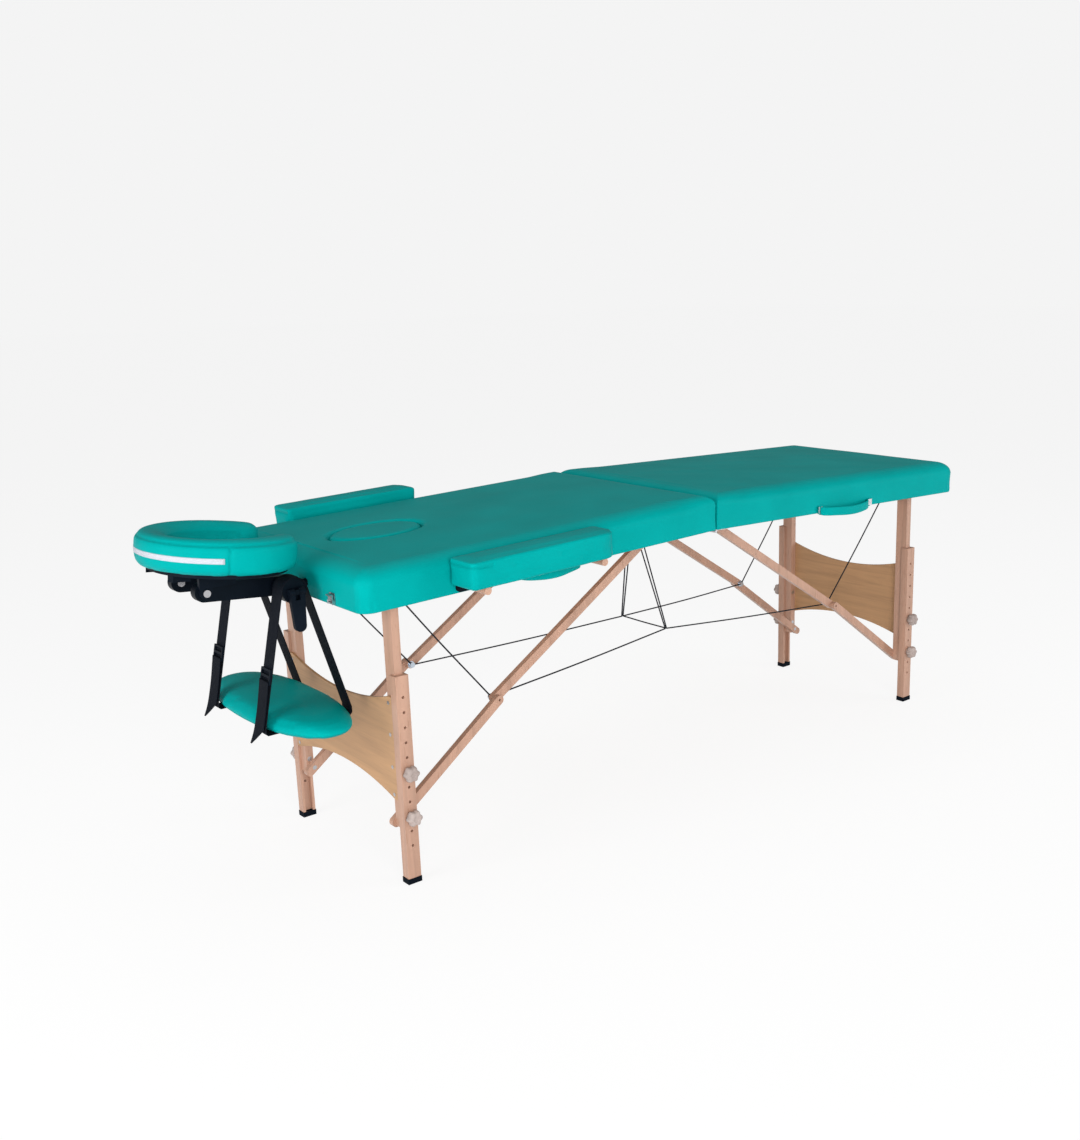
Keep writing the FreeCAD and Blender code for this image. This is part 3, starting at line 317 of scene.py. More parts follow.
def fill_with_air(obj, voxel, cap, still=None):
    """Swells a cushion as cloth under pressure: evens out its mesh, lets it move for some frames, and lets
    no point go further than cap. still gives the share of the movement that each point keeps."""
    even = obj.modifiers.new("even", "REMESH")
    even.mode = "VOXEL"
    even.voxel_size = voxel
    apply_modifiers(obj)
    rest = mesh_points(obj.data)
    cloth = obj.modifiers.new("air", "CLOTH")
    for name, value in AIR_SETTINGS.items():
        setattr(cloth.settings, name, value)
    cloth.settings.effector_weights.gravity = 0.0
    cloth.collision_settings.use_collision = False
    cloth.point_cache.frame_start = 1
    cloth.point_cache.frame_end = AIR_FRAMES
    for step in range(1, AIR_FRAMES + 1):
        bpy.context.scene.frame_set(step)
    apply_modifiers(obj)
    bpy.context.scene.frame_set(1)
    moved = mesh_points(obj.data) - rest
    share = np.minimum(1.0, cap / np.maximum(np.linalg.norm(moved, axis=1), 1e-9))
    if still is not None:
        share = share * still(rest)
    set_points(obj, rest + moved * share[:, None])
    all_smooth(obj.data)


def soften(obj):
    """One level of subdivision, applied."""
    round_off = obj.modifiers.new("soften", "SUBSURF")
    round_off.levels = 1
    round_off.render_levels = 1
    apply_modifiers(obj)


def drawn_in(points, seam, middle):
    """Points pulled towards the pad's middle near a seam, in a groove with a bell-shaped section."""
    return points + unit(middle - points) * (SEAM_DEPTH * bell(seam, SEAM_WIDTH))[:, None]


def keep_seam(obj, seam):
    """Stores each point's distance from the nearest seam, for the vinyl to read."""
    layer = obj.data.attributes.new("seam", "FLOAT", "POINT")
    layer.data.foreach_set("value", np.asarray(seam, np.float32))


# Finishes
class Shader:
    """A new material with its main shader, and short ways to add and join nodes."""

    def __init__(self, name, colour, roughness, metallic=0.0, specular=0.5):
        self.material = bpy.data.materials.new(name)
        self.material.use_nodes = True
        self.material.diffuse_color = (*colour, 1.0)
        self.tree = self.material.node_tree
        self.main = self.tree.nodes["Principled BSDF"]
        self.set("Base Color", (*colour, 1.0))
        self.set("Roughness", roughness)
        self.set("Metallic", metallic)
        self.set("Specular IOR Level", specular)

    def set(self, socket, value):
        """Sets one of the main shader's own sockets."""
        self.main.inputs[socket].default_value = value

    def node(self, kind, **values):
        """A new node; each value goes to the socket of that name, or else to the setting of that name."""
        made = self.tree.nodes.new(kind)
        for key, value in values.items():
            if key in made.inputs:
                made.inputs[key].default_value = value
            else:
                setattr(made, key, value)
        return made

    def join(self, output, socket):
        """Links an output to a socket."""
        self.tree.links.new(output, socket)

    def feed(self, socket, value):
        """Links an output to a socket, or sets the socket to a number or a colour."""
        if isinstance(value, bpy.types.NodeSocket):
            self.join(value, socket)
        elif isinstance(value, tuple):
            socket.default_value = (*value, 1.0)
        else:
            socket.default_value = value

    def place(self, scale=(1, 1, 1), turn=(0, 0, 0)):
        """Object coordinates, turned and scaled."""
        mapping = self.node("ShaderNodeMapping", Scale=scale, Rotation=turn)
        self.join(self.node("ShaderNodeTexCoord").outputs["Object"], mapping.inputs["Vector"])
        return mapping.outputs["Vector"]

    def own_map(self):
        """The two axes of the piece's own map: across and along."""
        split = self.node("ShaderNodeSeparateXYZ")
        self.join(self.node("ShaderNodeTexCoord").outputs["UV"], split.inputs["Vector"])
        return split.outputs["X"], split.outputs["Y"]

    def noise(self, vector, scale, detail=2.0, rough=0.5, distortion=0.0):
        """Cloudy noise."""
        values = {"Scale": scale, "Detail": detail, "Roughness": rough, "Distortion": distortion}
        made = self.node("ShaderNodeTexNoise", **values)
        self.join(vector, made.inputs["Vector"])
        return made.outputs["Fac"]

    def cells(self, vector, scale, feature="F1"):
        """Distance from the middle of the nearest of many small cells."""
        made = self.node("ShaderNodeTexVoronoi", Scale=scale, feature=feature)
        self.join(vector, made.inputs["Vector"])
        return made.outputs["Distance"]

    def ramp(self, value, *stops):
        """Colours along a value, each stop a place and a colour."""
        made = self.node("ShaderNodeValToRGB")
        bar = made.color_ramp
        while len(bar.elements) < len(stops):
            bar.elements.new(0.5)
        for element, (at, colour) in zip(bar.elements, stops):
            element.position = at
            element.color = (*colour, 1.0)
        self.join(value, made.inputs["Fac"])
        return made.outputs["Color"]

    def math(self, operation, *values):
        """One step of arithmetic."""
        made = self.node("ShaderNodeMath", operation=operation)
        for socket, value in zip(made.inputs, values):
            self.feed(socket, value)
        return made.outputs["Value"]

    def blend(self, share, a, b, mode="MIX"):
        """Colour a blended with colour b by a share."""
        made = self.node("ShaderNodeMix", data_type="RGBA", blend_type=mode)
        self.feed(made.inputs[0], share)
        self.feed(made.inputs[6], a)
        self.feed(made.inputs[7], b)
        return made.outputs[2]

    def colour(self, value):
        """Gives the main shader its colour."""
        self.join(value, self.main.inputs["Base Color"])

    def rough(self, value, low, high):
        """Gives the main shader a roughness that runs from low to high with the value."""
        made = self.node("ShaderNodeMapRange")
        made.inputs["To Min"].default_value = low
        made.inputs["To Max"].default_value = high
        self.join(value, made.inputs["Value"])
        self.join(made.outputs["Result"], self.main.inputs["Roughness"])

    def bump(self, height, depth, strength, under=None):
        """Gives the main shader a relief, on top of another where there is one under it."""
        made = self.node("ShaderNodeBump", Strength=strength, Distance=depth)
        self.join(height, made.inputs["Height"])
        if under is not None:
            self.join(under, made.inputs["Normal"])
        self.join(made.outputs["Normal"], self.main.inputs["Normal"])
        return made.outputs["Normal"]

    def stored(self, name):
        """A number that the piece's points carry."""
        return self.node("ShaderNodeAttribute", attribute_name=name).outputs["Fac"]


def shade(colour, share):
    """The colour made lighter or darker by a share."""
    return tuple(min(1.0, c * share) for c in colour)


def grey(level):
    """A neutral colour."""
    return (level, level, level)


def vinyl_finish(name, colour, seams=False):
    """Soft upholstery vinyl: fine pebbled grain with painted shade in its low spots, slow changes of tone,
    and stitched seams where wanted, their thread line darkened with painted shade in the groove.
    """
    s = Shader(name, colour, 0.46, specular=0.05)
    s.set("Specular Tint", (0.22, 1.0, 0.97, 1.0))
    place = s.place()
    grain = s.cells(place, 520.0, "SMOOTH_F1")
    pores = s.noise(place, 1500.0)
    slow = s.noise(place, 7.0, 3.0)
    tone = s.ramp(slow, (0.3, shade(colour, 0.93)), (0.7, shade(colour, 1.06)))
    # painted shade: the grain's low spots darkened to 0.88 of the colour
    grain_pit_shade = s.ramp(grain, (0.15, grey(0.88)), (0.5, grey(1.0)))
    tone = s.blend(0.5, tone, grain_pit_shade, "MULTIPLY")
    s.rough(pores, 0.4, 0.54)
    normal = s.bump(grain, 0.0003, 0.25)
    normal = s.bump(s.noise(place, 55.0, 3.0), 0.0012, 0.18, normal)
    if seams:
        away = s.stored("seam")
        # the seam's thread and painted shade in its groove: the colour darkened to half along the seam line
        thread_and_groove_shade = s.ramp(away, (0.0005, grey(0.3)), (0.0016, grey(0.0)))
        tone = s.blend(thread_and_groove_shade, tone, shade(colour, 0.5))
        s.bump(s.ramp(away, (0.0, grey(0.0)), (0.0035, grey(1.0))), 0.0016, 0.8, normal)
    s.colour(tone)
    return s.material


def beech_finish(name, colour, turn=(0.0, 0.0, 0.0)):
    """Varnished beech: faint long bands and short dark flecks along the piece's length, which is z when
    unturned."""
    s = Shader(name, colour, 0.38, specular=0.4)
    s.set("Coat Weight", 0.15)
    s.set("Coat Roughness", 0.25)
    bands = s.noise(s.place((26.0, 26.0, 1.3), turn), 2.0, 4.0, 0.55, 0.6)
    flecks = s.noise(s.place((420.0, 420.0, 34.0), turn), 1.0)
    pores = s.noise(s.place((900.0, 900.0, 60.0), turn), 1.0, 1.0)
    slow = s.noise(s.place((2.0, 2.0, 2.0), turn), 1.5, 1.0)
    tone = s.ramp(bands, (0.28, shade(colour, 0.82)), (0.5, colour), (0.72, shade(colour, 1.1)))
    fleck_colour = (colour[0] * 0.62, colour[1] * 0.5, colour[2] * 0.42)
    tone = s.blend(s.ramp(flecks, (0.62, grey(0.0)), (0.72, grey(0.55))), tone, fleck_colour)
    warmth = s.ramp(slow, (0.3, (0.86, 0.82, 0.8)), (0.7, grey(1.0)))
    s.colour(s.blend(0.35, tone, warmth, "MULTIPLY"))
    s.rough(bands, 0.32, 0.46)
    s.bump(pores, 0.0002, 0.2)
    return s.material


def plywood_finish(name, colour):
    """Plywood: a rotary-cut face with wavy figure and fine dark streaks."""
    s = Shader(name, colour, 0.45, specular=0.35)
    figure = s.noise(s.place((7.0, 1.1, 16.0)), 2.6, 5.0, 0.6, 1.4)
    fine = s.noise(s.place((60.0, 14.0, 500.0)), 1.0)
    tone = s.ramp(figure, (0.3, shade(colour, 0.84)), (0.5, colour), (0.68, shade(colour, 1.1)))
    streaks = s.ramp(fine, (0.6, grey(0.0)), (0.75, grey(0.4)))
    s.colour(s.blend(streaks, tone, shade(colour, 0.62)))
    s.rough(figure, 0.4, 0.52)
    s.bump(fine, 0.0002, 0.25)
    return s.material


def metal_finish(name, colour, roughness):
    """Plated metal: slight changes of polish and tone, and very fine wear."""
    s = Shader(name, colour, roughness, metallic=1.0)
    place = s.place()
    wear = s.noise(place, 300.0, 3.0)
    s.rough(wear, roughness * 0.7, roughness * 1.4)
    slow = s.noise(place, 30.0)
    s.colour(s.ramp(slow, (0.3, shade(colour, 0.88)), (0.7, colour)))
    s.bump(wear, 0.0001, 0.1)
    return s.material


def coated_finish(name, colour, roughness, grain, depth):
    """Powder coat, moulded plastic or rubber: a fine even pimple, and slow changes of tone and gloss."""
    s = Shader(name, colour, roughness, specular=0.1)
    s.set("Specular Tint", (0.6, 0.85, 1.0, 1.0))
    place = s.place()
    pimple = s.cells(place, grain)
    slow = s.noise(place, 24.0, 3.0)
    s.colour(s.ramp(slow, (0.32, shade(colour, 0.8)), (0.7, shade(colour, 1.25))))
    s.rough(slow, roughness * 0.85, roughness * 1.15)
    s.bump(pimple, depth, 0.3)
    return s.material


def woven_finish(name, colour, rib, roughness):
    """Woven tape: ribs slanting both ways from the middle, drawn on the band's own map in metres, with
    painted shade between the ribs and a painted highlight on their crowns.
    """
    s = Shader(name, colour, roughness, specular=0.12)
    across, along = s.own_map()
    slant = s.math("ADD", s.math("ABSOLUTE", across), along)
    rows = s.math("SINE", s.math("MULTIPLY", slant, FULL_TURN / rib))
    warp = s.math("SINE", s.math("MULTIPLY", across, FULL_TURN / (rib * 0.8)))
    weave = s.math("ADD", s.math("MULTIPLY", rows, 0.35), s.math("MULTIPLY", warp, 0.3))
    height = s.math("ADD", weave, 0.5)
    # painted shade and highlight: the colour follows the weave's height, darker in the valleys and lighter
    # on the rib crowns
    s.colour(s.ramp(height, (0.1, shade(colour, 0.55)), (0.8, shade(colour, 1.3))))
    s.bump(height, 0.0005, 0.6)
    return s.material


def braid_finish(name, colour, strands=4, pitch=0.0045):
    """Braided cord: two sets of strands that wind round it opposite ways, drawn on the tube's own map, with
    painted shade between the strands and a painted highlight on their crowns.
    """
    s = Shader(name, colour, 0.6, specular=0.3)
    across, along = s.own_map()
    turn = s.math("MULTIPLY", across, FULL_TURN * strands)
    run = s.math("MULTIPLY", along, FULL_TURN / pitch)
    left = s.math("SINE", s.math("ADD", turn, run))
    right = s.math("SINE", s.math("SUBTRACT", turn, run))
    strand = s.math("ADD", s.math("MULTIPLY", s.math("MAXIMUM", left, right), 0.5), 0.5)
    # painted shade and highlight: the colour follows the strands' height, darker between them and lighter
    # on their crowns
    s.colour(s.ramp(strand, (0.3, shade(colour, 0.6)), (0.9, shade(colour, 1.4))))
    s.bump(strand, 0.0004, 0.5)
    return s.material


# Settings that a user may change
COLOUR = {"subtype": "COLOR", "size": 3, "min": 0.0, "max": 1.0}
LENGTH = {"subtype": "DISTANCE", "unit": "LENGTH"}
PLAIN_CROWN = 0.008


class TableColours(bpy.types.PropertyGroup):
    """Colours of the table's materials."""

    vinyl: bpy.props.FloatVectorProperty(
        name="Vinyl", description="Upholstery colour", default=(0.0, 0.355, 0.342), **COLOUR)
    beech: bpy.props.FloatVectorProperty(
        name="Beech", description="Legs and struts", default=(0.53, 0.315, 0.225), **COLOUR)
    plywood: bpy.props.FloatVectorProperty(
        name="Plywood", description="End panels", default=(0.51, 0.295, 0.150), **COLOUR)
    knob: bpy.props.FloatVectorProperty(
        name="Knobs", description="Lobed knobs", default=(0.45, 0.37, 0.34), **COLOUR)
    black: bpy.props.FloatVectorProperty(
        name="Black parts", description="Cradle, straps and rubber",
        default=(0.002, 0.0035, 0.007), **COLOUR)
    tape: bpy.props.FloatVectorProperty(
        name="Tape", description="Band round the cradle cushion", default=(0.60, 0.63, 0.69), **COLOUR)


class TableSizes(bpy.types.PropertyGroup):
    """Sizes of the soft pieces."""

    crown: bpy.props.FloatProperty(
        name="Pad crown", description="Rise of the table pads towards their middle",
        default=PLAIN_CROWN, min=0.0, max=0.02, **LENGTH)
    swell: bpy.props.FloatProperty(
        name="Cushion swell", description="Furthest that a filled cushion stands out",
        default=0.006, min=0.001, max=0.02, **LENGTH)
    cord: bpy.props.FloatProperty(
        name="Cord thickness", description="Diameter of the stay cords",
        default=0.0035, min=0.002, max=0.006, **LENGTH)


FINISHES = {}
STRUT_LEAN = math.atan2(0.7623, 0.4978)
ZINC, BLUE_ZINC = (0.52, 0.52, 0.54), (0.55, 0.62, 0.70)
# The first row whose words are in a part's name gives its finish
NODE_FINISH = (
    ("knee_eyes", "blue_zinc"), ("fittings", "steel"), ("fasteners", "steel"), ("hinge_pins", "steel"),
    ("bolts", "steel"), ("latch_lever", "steel"), ("foot_cap", "rubber"), ("knob", "knob"),
    ("panel", "plywood"), ("deck", "plywood"), ("shelf_board", "black_plastic"),
    ("buckles", "black_plastic"), ("collars", "black_plastic"), ("cradle_arms", "black_metal"),
    ("cradle_bracket", "black_metal"), ("cradle_platform", "black_plastic"), ("cam_lever", "black_plastic"),
    ("rest_base", "beech_long"), ("rails", "beech_long"), ("lower_leg", "beech_upright"),
    ("upper_legs", "beech_upright"), ("straps", "webbing"), ("tape", "tape"), ("cords", "cord"),
    ("foot_upper_struts", "beech_foot_strut"), ("foot_lower_struts", "beech_foot_strut"),
    ("head_upper_struts", "beech_head_strut"), ("head_lower_struts", "beech_head_strut"),
)


def mixed_finishes(colours):
    """Every material once, by the name of its finish, from the colours in the settings."""
    vinyl, beech, black = tuple(colours.vinyl), tuple(colours.beech), tuple(colours.black)
    return {
        "vinyl": vinyl_finish("teal_vinyl", vinyl),
        "sewn_vinyl": vinyl_finish("teal_vinyl_sewn", vinyl, seams=True),
        "beech_upright": beech_finish("beech_upright", beech),
        "beech_long": beech_finish("beech_long", beech, (0.0, math.pi / 2, 0.0)),
        "beech_foot_strut": beech_finish("beech_foot_strut", beech, (0.0, STRUT_LEAN, 0.0)),
        "beech_head_strut": beech_finish("beech_head_strut", beech, (0.0, -STRUT_LEAN, 0.0)),
        "plywood": plywood_finish("plywood", tuple(colours.plywood)),
        "steel": metal_finish("zinc_plate", ZINC, 0.28),
        "blue_zinc": metal_finish("blue_zinc_plate", BLUE_ZINC, 0.3),
        "black_metal": coated_finish("black_powder_coat", black, 0.42, 1400.0, 0.0002),
        "black_plastic": coated_finish("black_moulding", shade(black, 1.3), 0.5, 900.0, 0.0003),
        "rubber": coated_finish("black_rubber", shade(black, 1.1), 0.75, 700.0, 0.0004),
        "knob": coated_finish("knob_moulding", tuple(colours.knob), 0.4, 1100.0, 0.0002),
        "webbing": woven_finish("black_webbing", shade(black, 1.4), 0.0022, 0.75),
        "tape": woven_finish("white_tape", tuple(colours.tape), 0.0016, 0.55),
        "cord": braid_finish("black_cord", shade(black, 1.2)),
    }


class TABLE_OT_finishes(bpy.types.Operator):
    """Mixes the materials and puts one on each part of the frame"""

    bl_idname = "table.finishes"
    bl_label = "Finishes"

    def execute(self, context):
        FINISHES.update(mixed_finishes(context.scene.table_colours))
        for name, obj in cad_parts.items():
            found = [finish for part, finish in NODE_FINISH if part in name]
            obj.data.materials.clear()
            obj.data.materials.append(FINISHES[found[0] if found else "vinyl"])
        return {"FINISHED"}


# Table pads
SPREAD, HINGE_SPREAD_LOSS = 0.046, 0.012
SHOULDER, HINGE_SHOULDER_LOSS = 0.027, 0.007
SHOULDER_SHARE, END_SHARE = 0.25, 0.35
HINGE_ROUND, HINGE_ROUND_LEAST = 0.0025, 0.001
END_ROUND, END_ROUND_LEAST = 0.030, 0.006
# The hem: distance in from the edge, and height above the underside of the rails
HEM = ((0.022, -0.0006), (0.012, -0.0011), (0.004, -0.0012), (0.0012, -0.0008), (0.0002, 0.0008),
       (0.0, 0.004))
HEM_TOP = HEM[-1][1]
RAIL_HOLLOW, SIDE_WAVE, PLEAT_DEPTH, FOAM_BULGE, TOP_WAVE = 0.0009, 0.0007, 0.0009, 0.0008, 0.0005
PLEATS, PLEAT_OUT, PLEAT_SIDE = 26, 0.87, 0.24
CORNER_IN, CORNER_LONG, CORNER_WIDE = 0.02, 0.03, 0.045
HOLE_LIP, HOLE_ROOM, HOLE_HEM = 0.014, 0.0006, 0.0005
HINGE_ZONE = (0.03, 0.10)


def pad_outline(inset):
    """The pad's outline in plan, moved in by inset: straight sides and four corner arcs, always in the same
    number of points."""
    x0, x1, y1 = BUTT_GAP + inset, HALF_LENGTH - inset, HALF_WIDTH - inset
    r0 = max(HINGE_ROUND - inset, HINGE_ROUND_LEAST)
    r1 = max(END_ROUND - inset * 0.8, END_ROUND_LEAST)
    long_count, end_count, hinge_count = 150, 84, 96
    end_arc, hinge_arc = 20, 10

    def line(a, b, count):
        t = np.linspace(0, 1, count, endpoint=False)[:, None]
        return np.asarray(a) * (1 - t) + np.asarray(b) * t

    return np.concatenate([
        line((x0 + r0, -y1), (x1 - r1, -y1), long_count),
        quarter_arc(x1 - r1, -y1 + r1, r1, -90, end_arc, last=False),
        line((x1, -y1 + r1), (x1, y1 - r1), end_count),
        quarter_arc(x1 - r1, y1 - r1, r1, 0, end_arc, last=False),
        line((x1 - r1, y1), (x0 + r0, y1), long_count),
        quarter_arc(x0 + r0, y1 - r0, r0, 90, hinge_arc, last=False),
        line((x0, y1 - r0), (x0, -y1 + r0), hinge_count),
        quarter_arc(x0 + r0, -y1 + r0, r0, 180, hinge_arc, last=False),
    ])


def pad_height(flat, crown):
    """Height of the pad's top: a shallow arch across and along, a share of it kept at the shoulders."""
    across = 1 - np.clip(np.abs(flat[:, 1]) / (HALF_WIDTH - SPREAD), 0, 1) ** 2
    middle = (BUTT_GAP + HALF_LENGTH) / 2
    along = 1 - np.clip(np.abs(flat[:, 0] - middle) / (HALF_LENGTH / 2 - SPREAD), 0, 1) ** 4
    arch = across * (END_SHARE + (1 - END_SHARE) * along)
    return PAD_EDGE + crown * (SHOULDER_SHARE + (1 - SHOULDER_SHARE) * arch)


def pad_sides(edge, shoulder, seed):
    """Rows up the sides: the outline drawn in along the rails and let out above them, with slow waves and,
    at the end corners, pleats that fade upwards."""
    x, y = edge[:, 0], edge[:, 1]
    wave = ripple(x, y * 1.7, seed)
    at_corner = bell(x - HALF_LENGTH + CORNER_IN, CORNER_LONG) * bell(HALF_WIDTH - np.abs(y), CORNER_WIDE)
    pleat = at_corner * np.sin(np.arctan2(np.abs(y) - PLEAT_SIDE, x - PLEAT_OUT) * PLEATS)
    step = 0.001
    inward = (pad_outline(step) - edge) / step
    rows = []
    for share in np.linspace(0.06, 1.0, 16):
        z = HEM_TOP + (PAD_EDGE - shoulder - HEM_TOP) * share
        draw = RAIL_HOLLOW * np.sin(math.pi * np.clip(z / RAIL_DEPTH, 0, 1)) + SIDE_WAVE * wave * share
        draw = draw + PLEAT_DEPTH * pleat * (1 - share) ** 1.5
        draw = draw - FOAM_BULGE * smooth_step(RAIL_DEPTH, PAD_EDGE - 0.02, z)
        rows.append(at_height(edge + inward * draw[:, None], z))
    return rows


def pad_shoulders(shoulder, spread, crown):
    """Rows over the shoulders: a quarter of an oval, as wide as spread and as tall as shoulder at each
    point, picked from outlines at even insets."""
    insets = 25
    stack = np.stack([pad_outline(inset) for inset in np.linspace(0, SPREAD, insets)])
    point = np.arange(stack.shape[1])
    rows = []
    for t in np.radians(np.linspace(6, 90, 15)):
        index = np.clip(spread * (1 - math.cos(t)) / SPREAD * (insets - 1), 0, insets - 1.001)
        low = index.astype(int)
        part = (index - low)[:, None]
        flat = stack[low, point] * (1 - part) + stack[low + 1, point] * part
        z = PAD_EDGE - shoulder + shoulder * math.sin(t) + SHOULDER_SHARE * crown * math.sin(t)
        rows.append(at_height(flat, z))
    return rows


def pad_top(rim, crown, hole, seed):
    """Rows from the shoulders inwards, in rings that close on the middle of the top, or on the face hole,
    where they turn down over its lip to the deck."""
    centre = np.array([FACE_OUT if hole else HALF_LENGTH / 2, 0.0])
    bearing = np.arctan2((rim[:, 1] - centre[1]) / FACE_SHORT, (rim[:, 0] - centre[0]) / FACE_LONG)
    around = np.column_stack([np.cos(bearing), np.sin(bearing)])
    size = np.array([FACE_LONG, FACE_SHORT]) + HOLE_ROOM
    mouth = centre + around * (size + HOLE_LIP) if hole else centre
    rows = []
    for share in np.linspace(0.03, 1.0, 44) ** 1.15:
        flat = rim * (1 - share) + mouth * share
        wave = ripple(flat[:, 0], flat[:, 1], seed) * smooth_step(0, 0.2, share)
        rows.append(at_height(flat, pad_height(flat, crown) + TOP_WAVE * wave))
    if hole:
        top = rows[-1][:, 2]
        for t in np.radians(np.linspace(15, 90, 6)):
            flat = centre + around * (size + HOLE_LIP * (1 - math.sin(t)))
            rows.append(at_height(flat, top - HOLE_LIP * (1 - math.cos(t))))
        for share in (0.3, 0.65, 1.0):
            rows.append(at_height(flat, (top - HOLE_LIP) * (1 - share) + (DECK_TOP + HOLE_HEM) * share))
    return rows


def table_pad(name, end, crown, hole, seed):
    """A table pad and its cover as one surface: from the hem tucked under the rails, round the lower edge,
    up the sides, over the shoulders, which are tighter at the hinge, and over the top."""
    edge = pad_outline(0.0)
    hinge_side = 1 - smooth_step(*HINGE_ZONE, edge[:, 0])
    shoulder = SHOULDER - HINGE_SHOULDER_LOSS * hinge_side
    spread = SPREAD - HINGE_SPREAD_LOSS * hinge_side
    rows = [at_height(pad_outline(inset), z) for inset, z in HEM]
    rows += pad_sides(edge, shoulder, seed)
    rows += pad_shoulders(shoulder, spread, crown)
    rows += pad_top(rows[-1][:, :2], crown, hole, seed + 3)
    return shell(name, on_half(np.stack(rows), end), FINISHES["vinyl"])


class TABLE_OT_pads(bpy.types.Operator):
    """Covers each half with its padded top, tucked under the rails"""

    bl_idname = "table.pads"
    bl_label = "Table pads"

    def execute(self, context):
        crown = context.scene.table_sizes.crown
        for label, end, hole, seed in (("head", HEAD, True, 4), ("foot", FOOT, False, 9)):
            cover = table_pad(label + "_cover", end, crown, hole, seed)
            declare(cover, label + "_frame", label + "_pad")
        return {"FINISHED"}


# The plug: share of the face hole's oval, and height above the underside of the rails
PLUG_PROFILE = (
    (0.0, RAIL_DEPTH), (1.0, RAIL_DEPTH), (1.0, 0.056), (1.0, 0.062), (1.0, 0.068), (0.996, 0.0735),
    (0.984, 0.078), (0.965, 0.0815), (0.94, 0.0841), (0.91, 0.0857), (0.885, 0.0865), (0.86, 0.0869),
    (0.82, 0.0872), (0.72, 0.0875), (0.55, 0.0877), (0.35, 0.0878), (0.15, 0.0878), (0.0, 0.0878),
)


class TABLE_OT_face_plug(bpy.types.Operator):
    """Fills the face hole with its oval plug, whose edge is well rounded"""

    bl_idname = "table.face_plug"
    bl_label = "Face plug"

    def execute(self, context):
        turn = round_turn(128)
        oval = np.column_stack([FACE_LONG * np.cos(turn), FACE_SHORT * np.sin(turn)])
        lift = context.scene.table_sizes.crown - PLAIN_CROWN
        rings = scaled_rings(oval, PLUG_PROFILE) + (FACE_OUT, 0.0, lift)
        plug = shell("face_hole_plug", on_half(rings, HEAD), FINISHES["vinyl"])
        soften(plug)
        declare(plug, "face_plug", "face_plug")
        return {"FINISHED"}


# Face cradle
CRADLE = SHIFT + np.array([-1.072915, 0.0, 0.683983])
CRADLE_TILT = math.radians(6.0)
RING_LONG, RING_WIDE = 0.120, 0.128
RING_HALF, RING_HEIGHT = 0.038, 0.068
RING_OPENING = math.radians(29.0)
RING_END_ROUND = 0.03
RING_SQUARENESS = 0.62
RING_DISH, RING_DROOP = 0.011, 0.009
RING_ROOM_WIDE, RING_ROOM_TALL = 0.004, 0.005
RING_REST, RING_MIDDLE = 0.0004, 0.033
PLATFORM_EDGE, PLATFORM_DROP = (0.0135, 0.021), 0.0094
RING_UPPER_SEAM, RING_INNER_SEAM = 0.055, -0.031
RING_OUTER_WALL, RING_INNER_LOW, RING_JOIN_RADIUS = 0.015, 0.035, 0.13
RING_JOINS = np.radians([93.0, 253.0])
TAPE_ENDS = (96.0, 250.0)
TAPE_LOW, TAPE_HIGH = 0.0218, 0.0322
TAPE_THICK = 0.0012
TAPE_DROPPED_FROM = RING_HALF + 0.04


def on_cradle(points):
    """Points about the cushion's middle, level, set at the cradle's tilt."""
    p = np.asarray(points, float)
    x = p[..., 0] * math.cos(CRADLE_TILT) + p[..., 2] * math.sin(CRADLE_TILT)
    z = -p[..., 0] * math.sin(CRADLE_TILT) + p[..., 2] * math.cos(CRADLE_TILT)
    return np.stack([x, p[..., 1], z], -1) + CRADLE


def off_cradle(points):
    """The reverse of on_cradle."""
    p = np.asarray(points, float) - CRADLE
    x = p[..., 0] * math.cos(CRADLE_TILT) - p[..., 2] * math.sin(CRADLE_TILT)
    z = p[..., 0] * math.sin(CRADLE_TILT) + p[..., 2] * math.cos(CRADLE_TILT)
    return np.stack([x, p[..., 1], z], -1)


def ring_line(bearing):
    """The horseshoe's oval middle line at each bearing, and the direction outwards from it."""
    c, s = np.cos(bearing), np.sin(bearing)
    line = np.stack([RING_LONG * c, RING_WIDE * s], -1)
    return line, unit(np.stack([RING_WIDE * c, RING_LONG * s], -1))


def ring_points(bearing, off, height):
    """Places on the horseshoe, from bearing, distance outwards from its middle line, and height."""
    bearing, off, height = np.broadcast_arrays(bearing, off, height)
    line, out = ring_line(bearing)
    return np.concatenate([line + out * off[..., None], height[..., None]], -1)


def ring_sections():
    """Sections of the horseshoe: a squared-off oval carried round the middle line and shrunk at both ends,
    dished towards the inside and drooping below its outer edge."""
    stop = FULL_TURN - RING_OPENING
    bearing = np.linspace(RING_OPENING, stop, 150)
    to_end = np.minimum(bearing - RING_OPENING, stop - bearing) * RING_LONG
    size = np.sqrt(np.clip(1 - (1 - np.clip(to_end / RING_END_ROUND, 0, 1)) ** 2, 0.02, 1))[:, None]
    turn = round_turn(56)
    wide, up = blunt(np.cos(turn), RING_SQUARENESS), blunt(np.sin(turn), RING_SQUARENESS)
    half = (RING_HALF - RING_ROOM_WIDE) * size
    tall = (RING_HEIGHT - RING_ROOM_TALL) * (0.45 + 0.55 * size)
    dish = RING_DISH * smooth_step(-0.2, 1.0, -wide) * np.clip(up, 0, 1)
    droop = RING_DROOP * smooth_step(0.35, 0.8, wide) * np.clip(-up, 0, 1)
    height = RING_HEIGHT * 0.47 + tall / 2 * up - size * (dish + droop)
    return on_cradle(ring_points(bearing[:, None], half * wide, height))


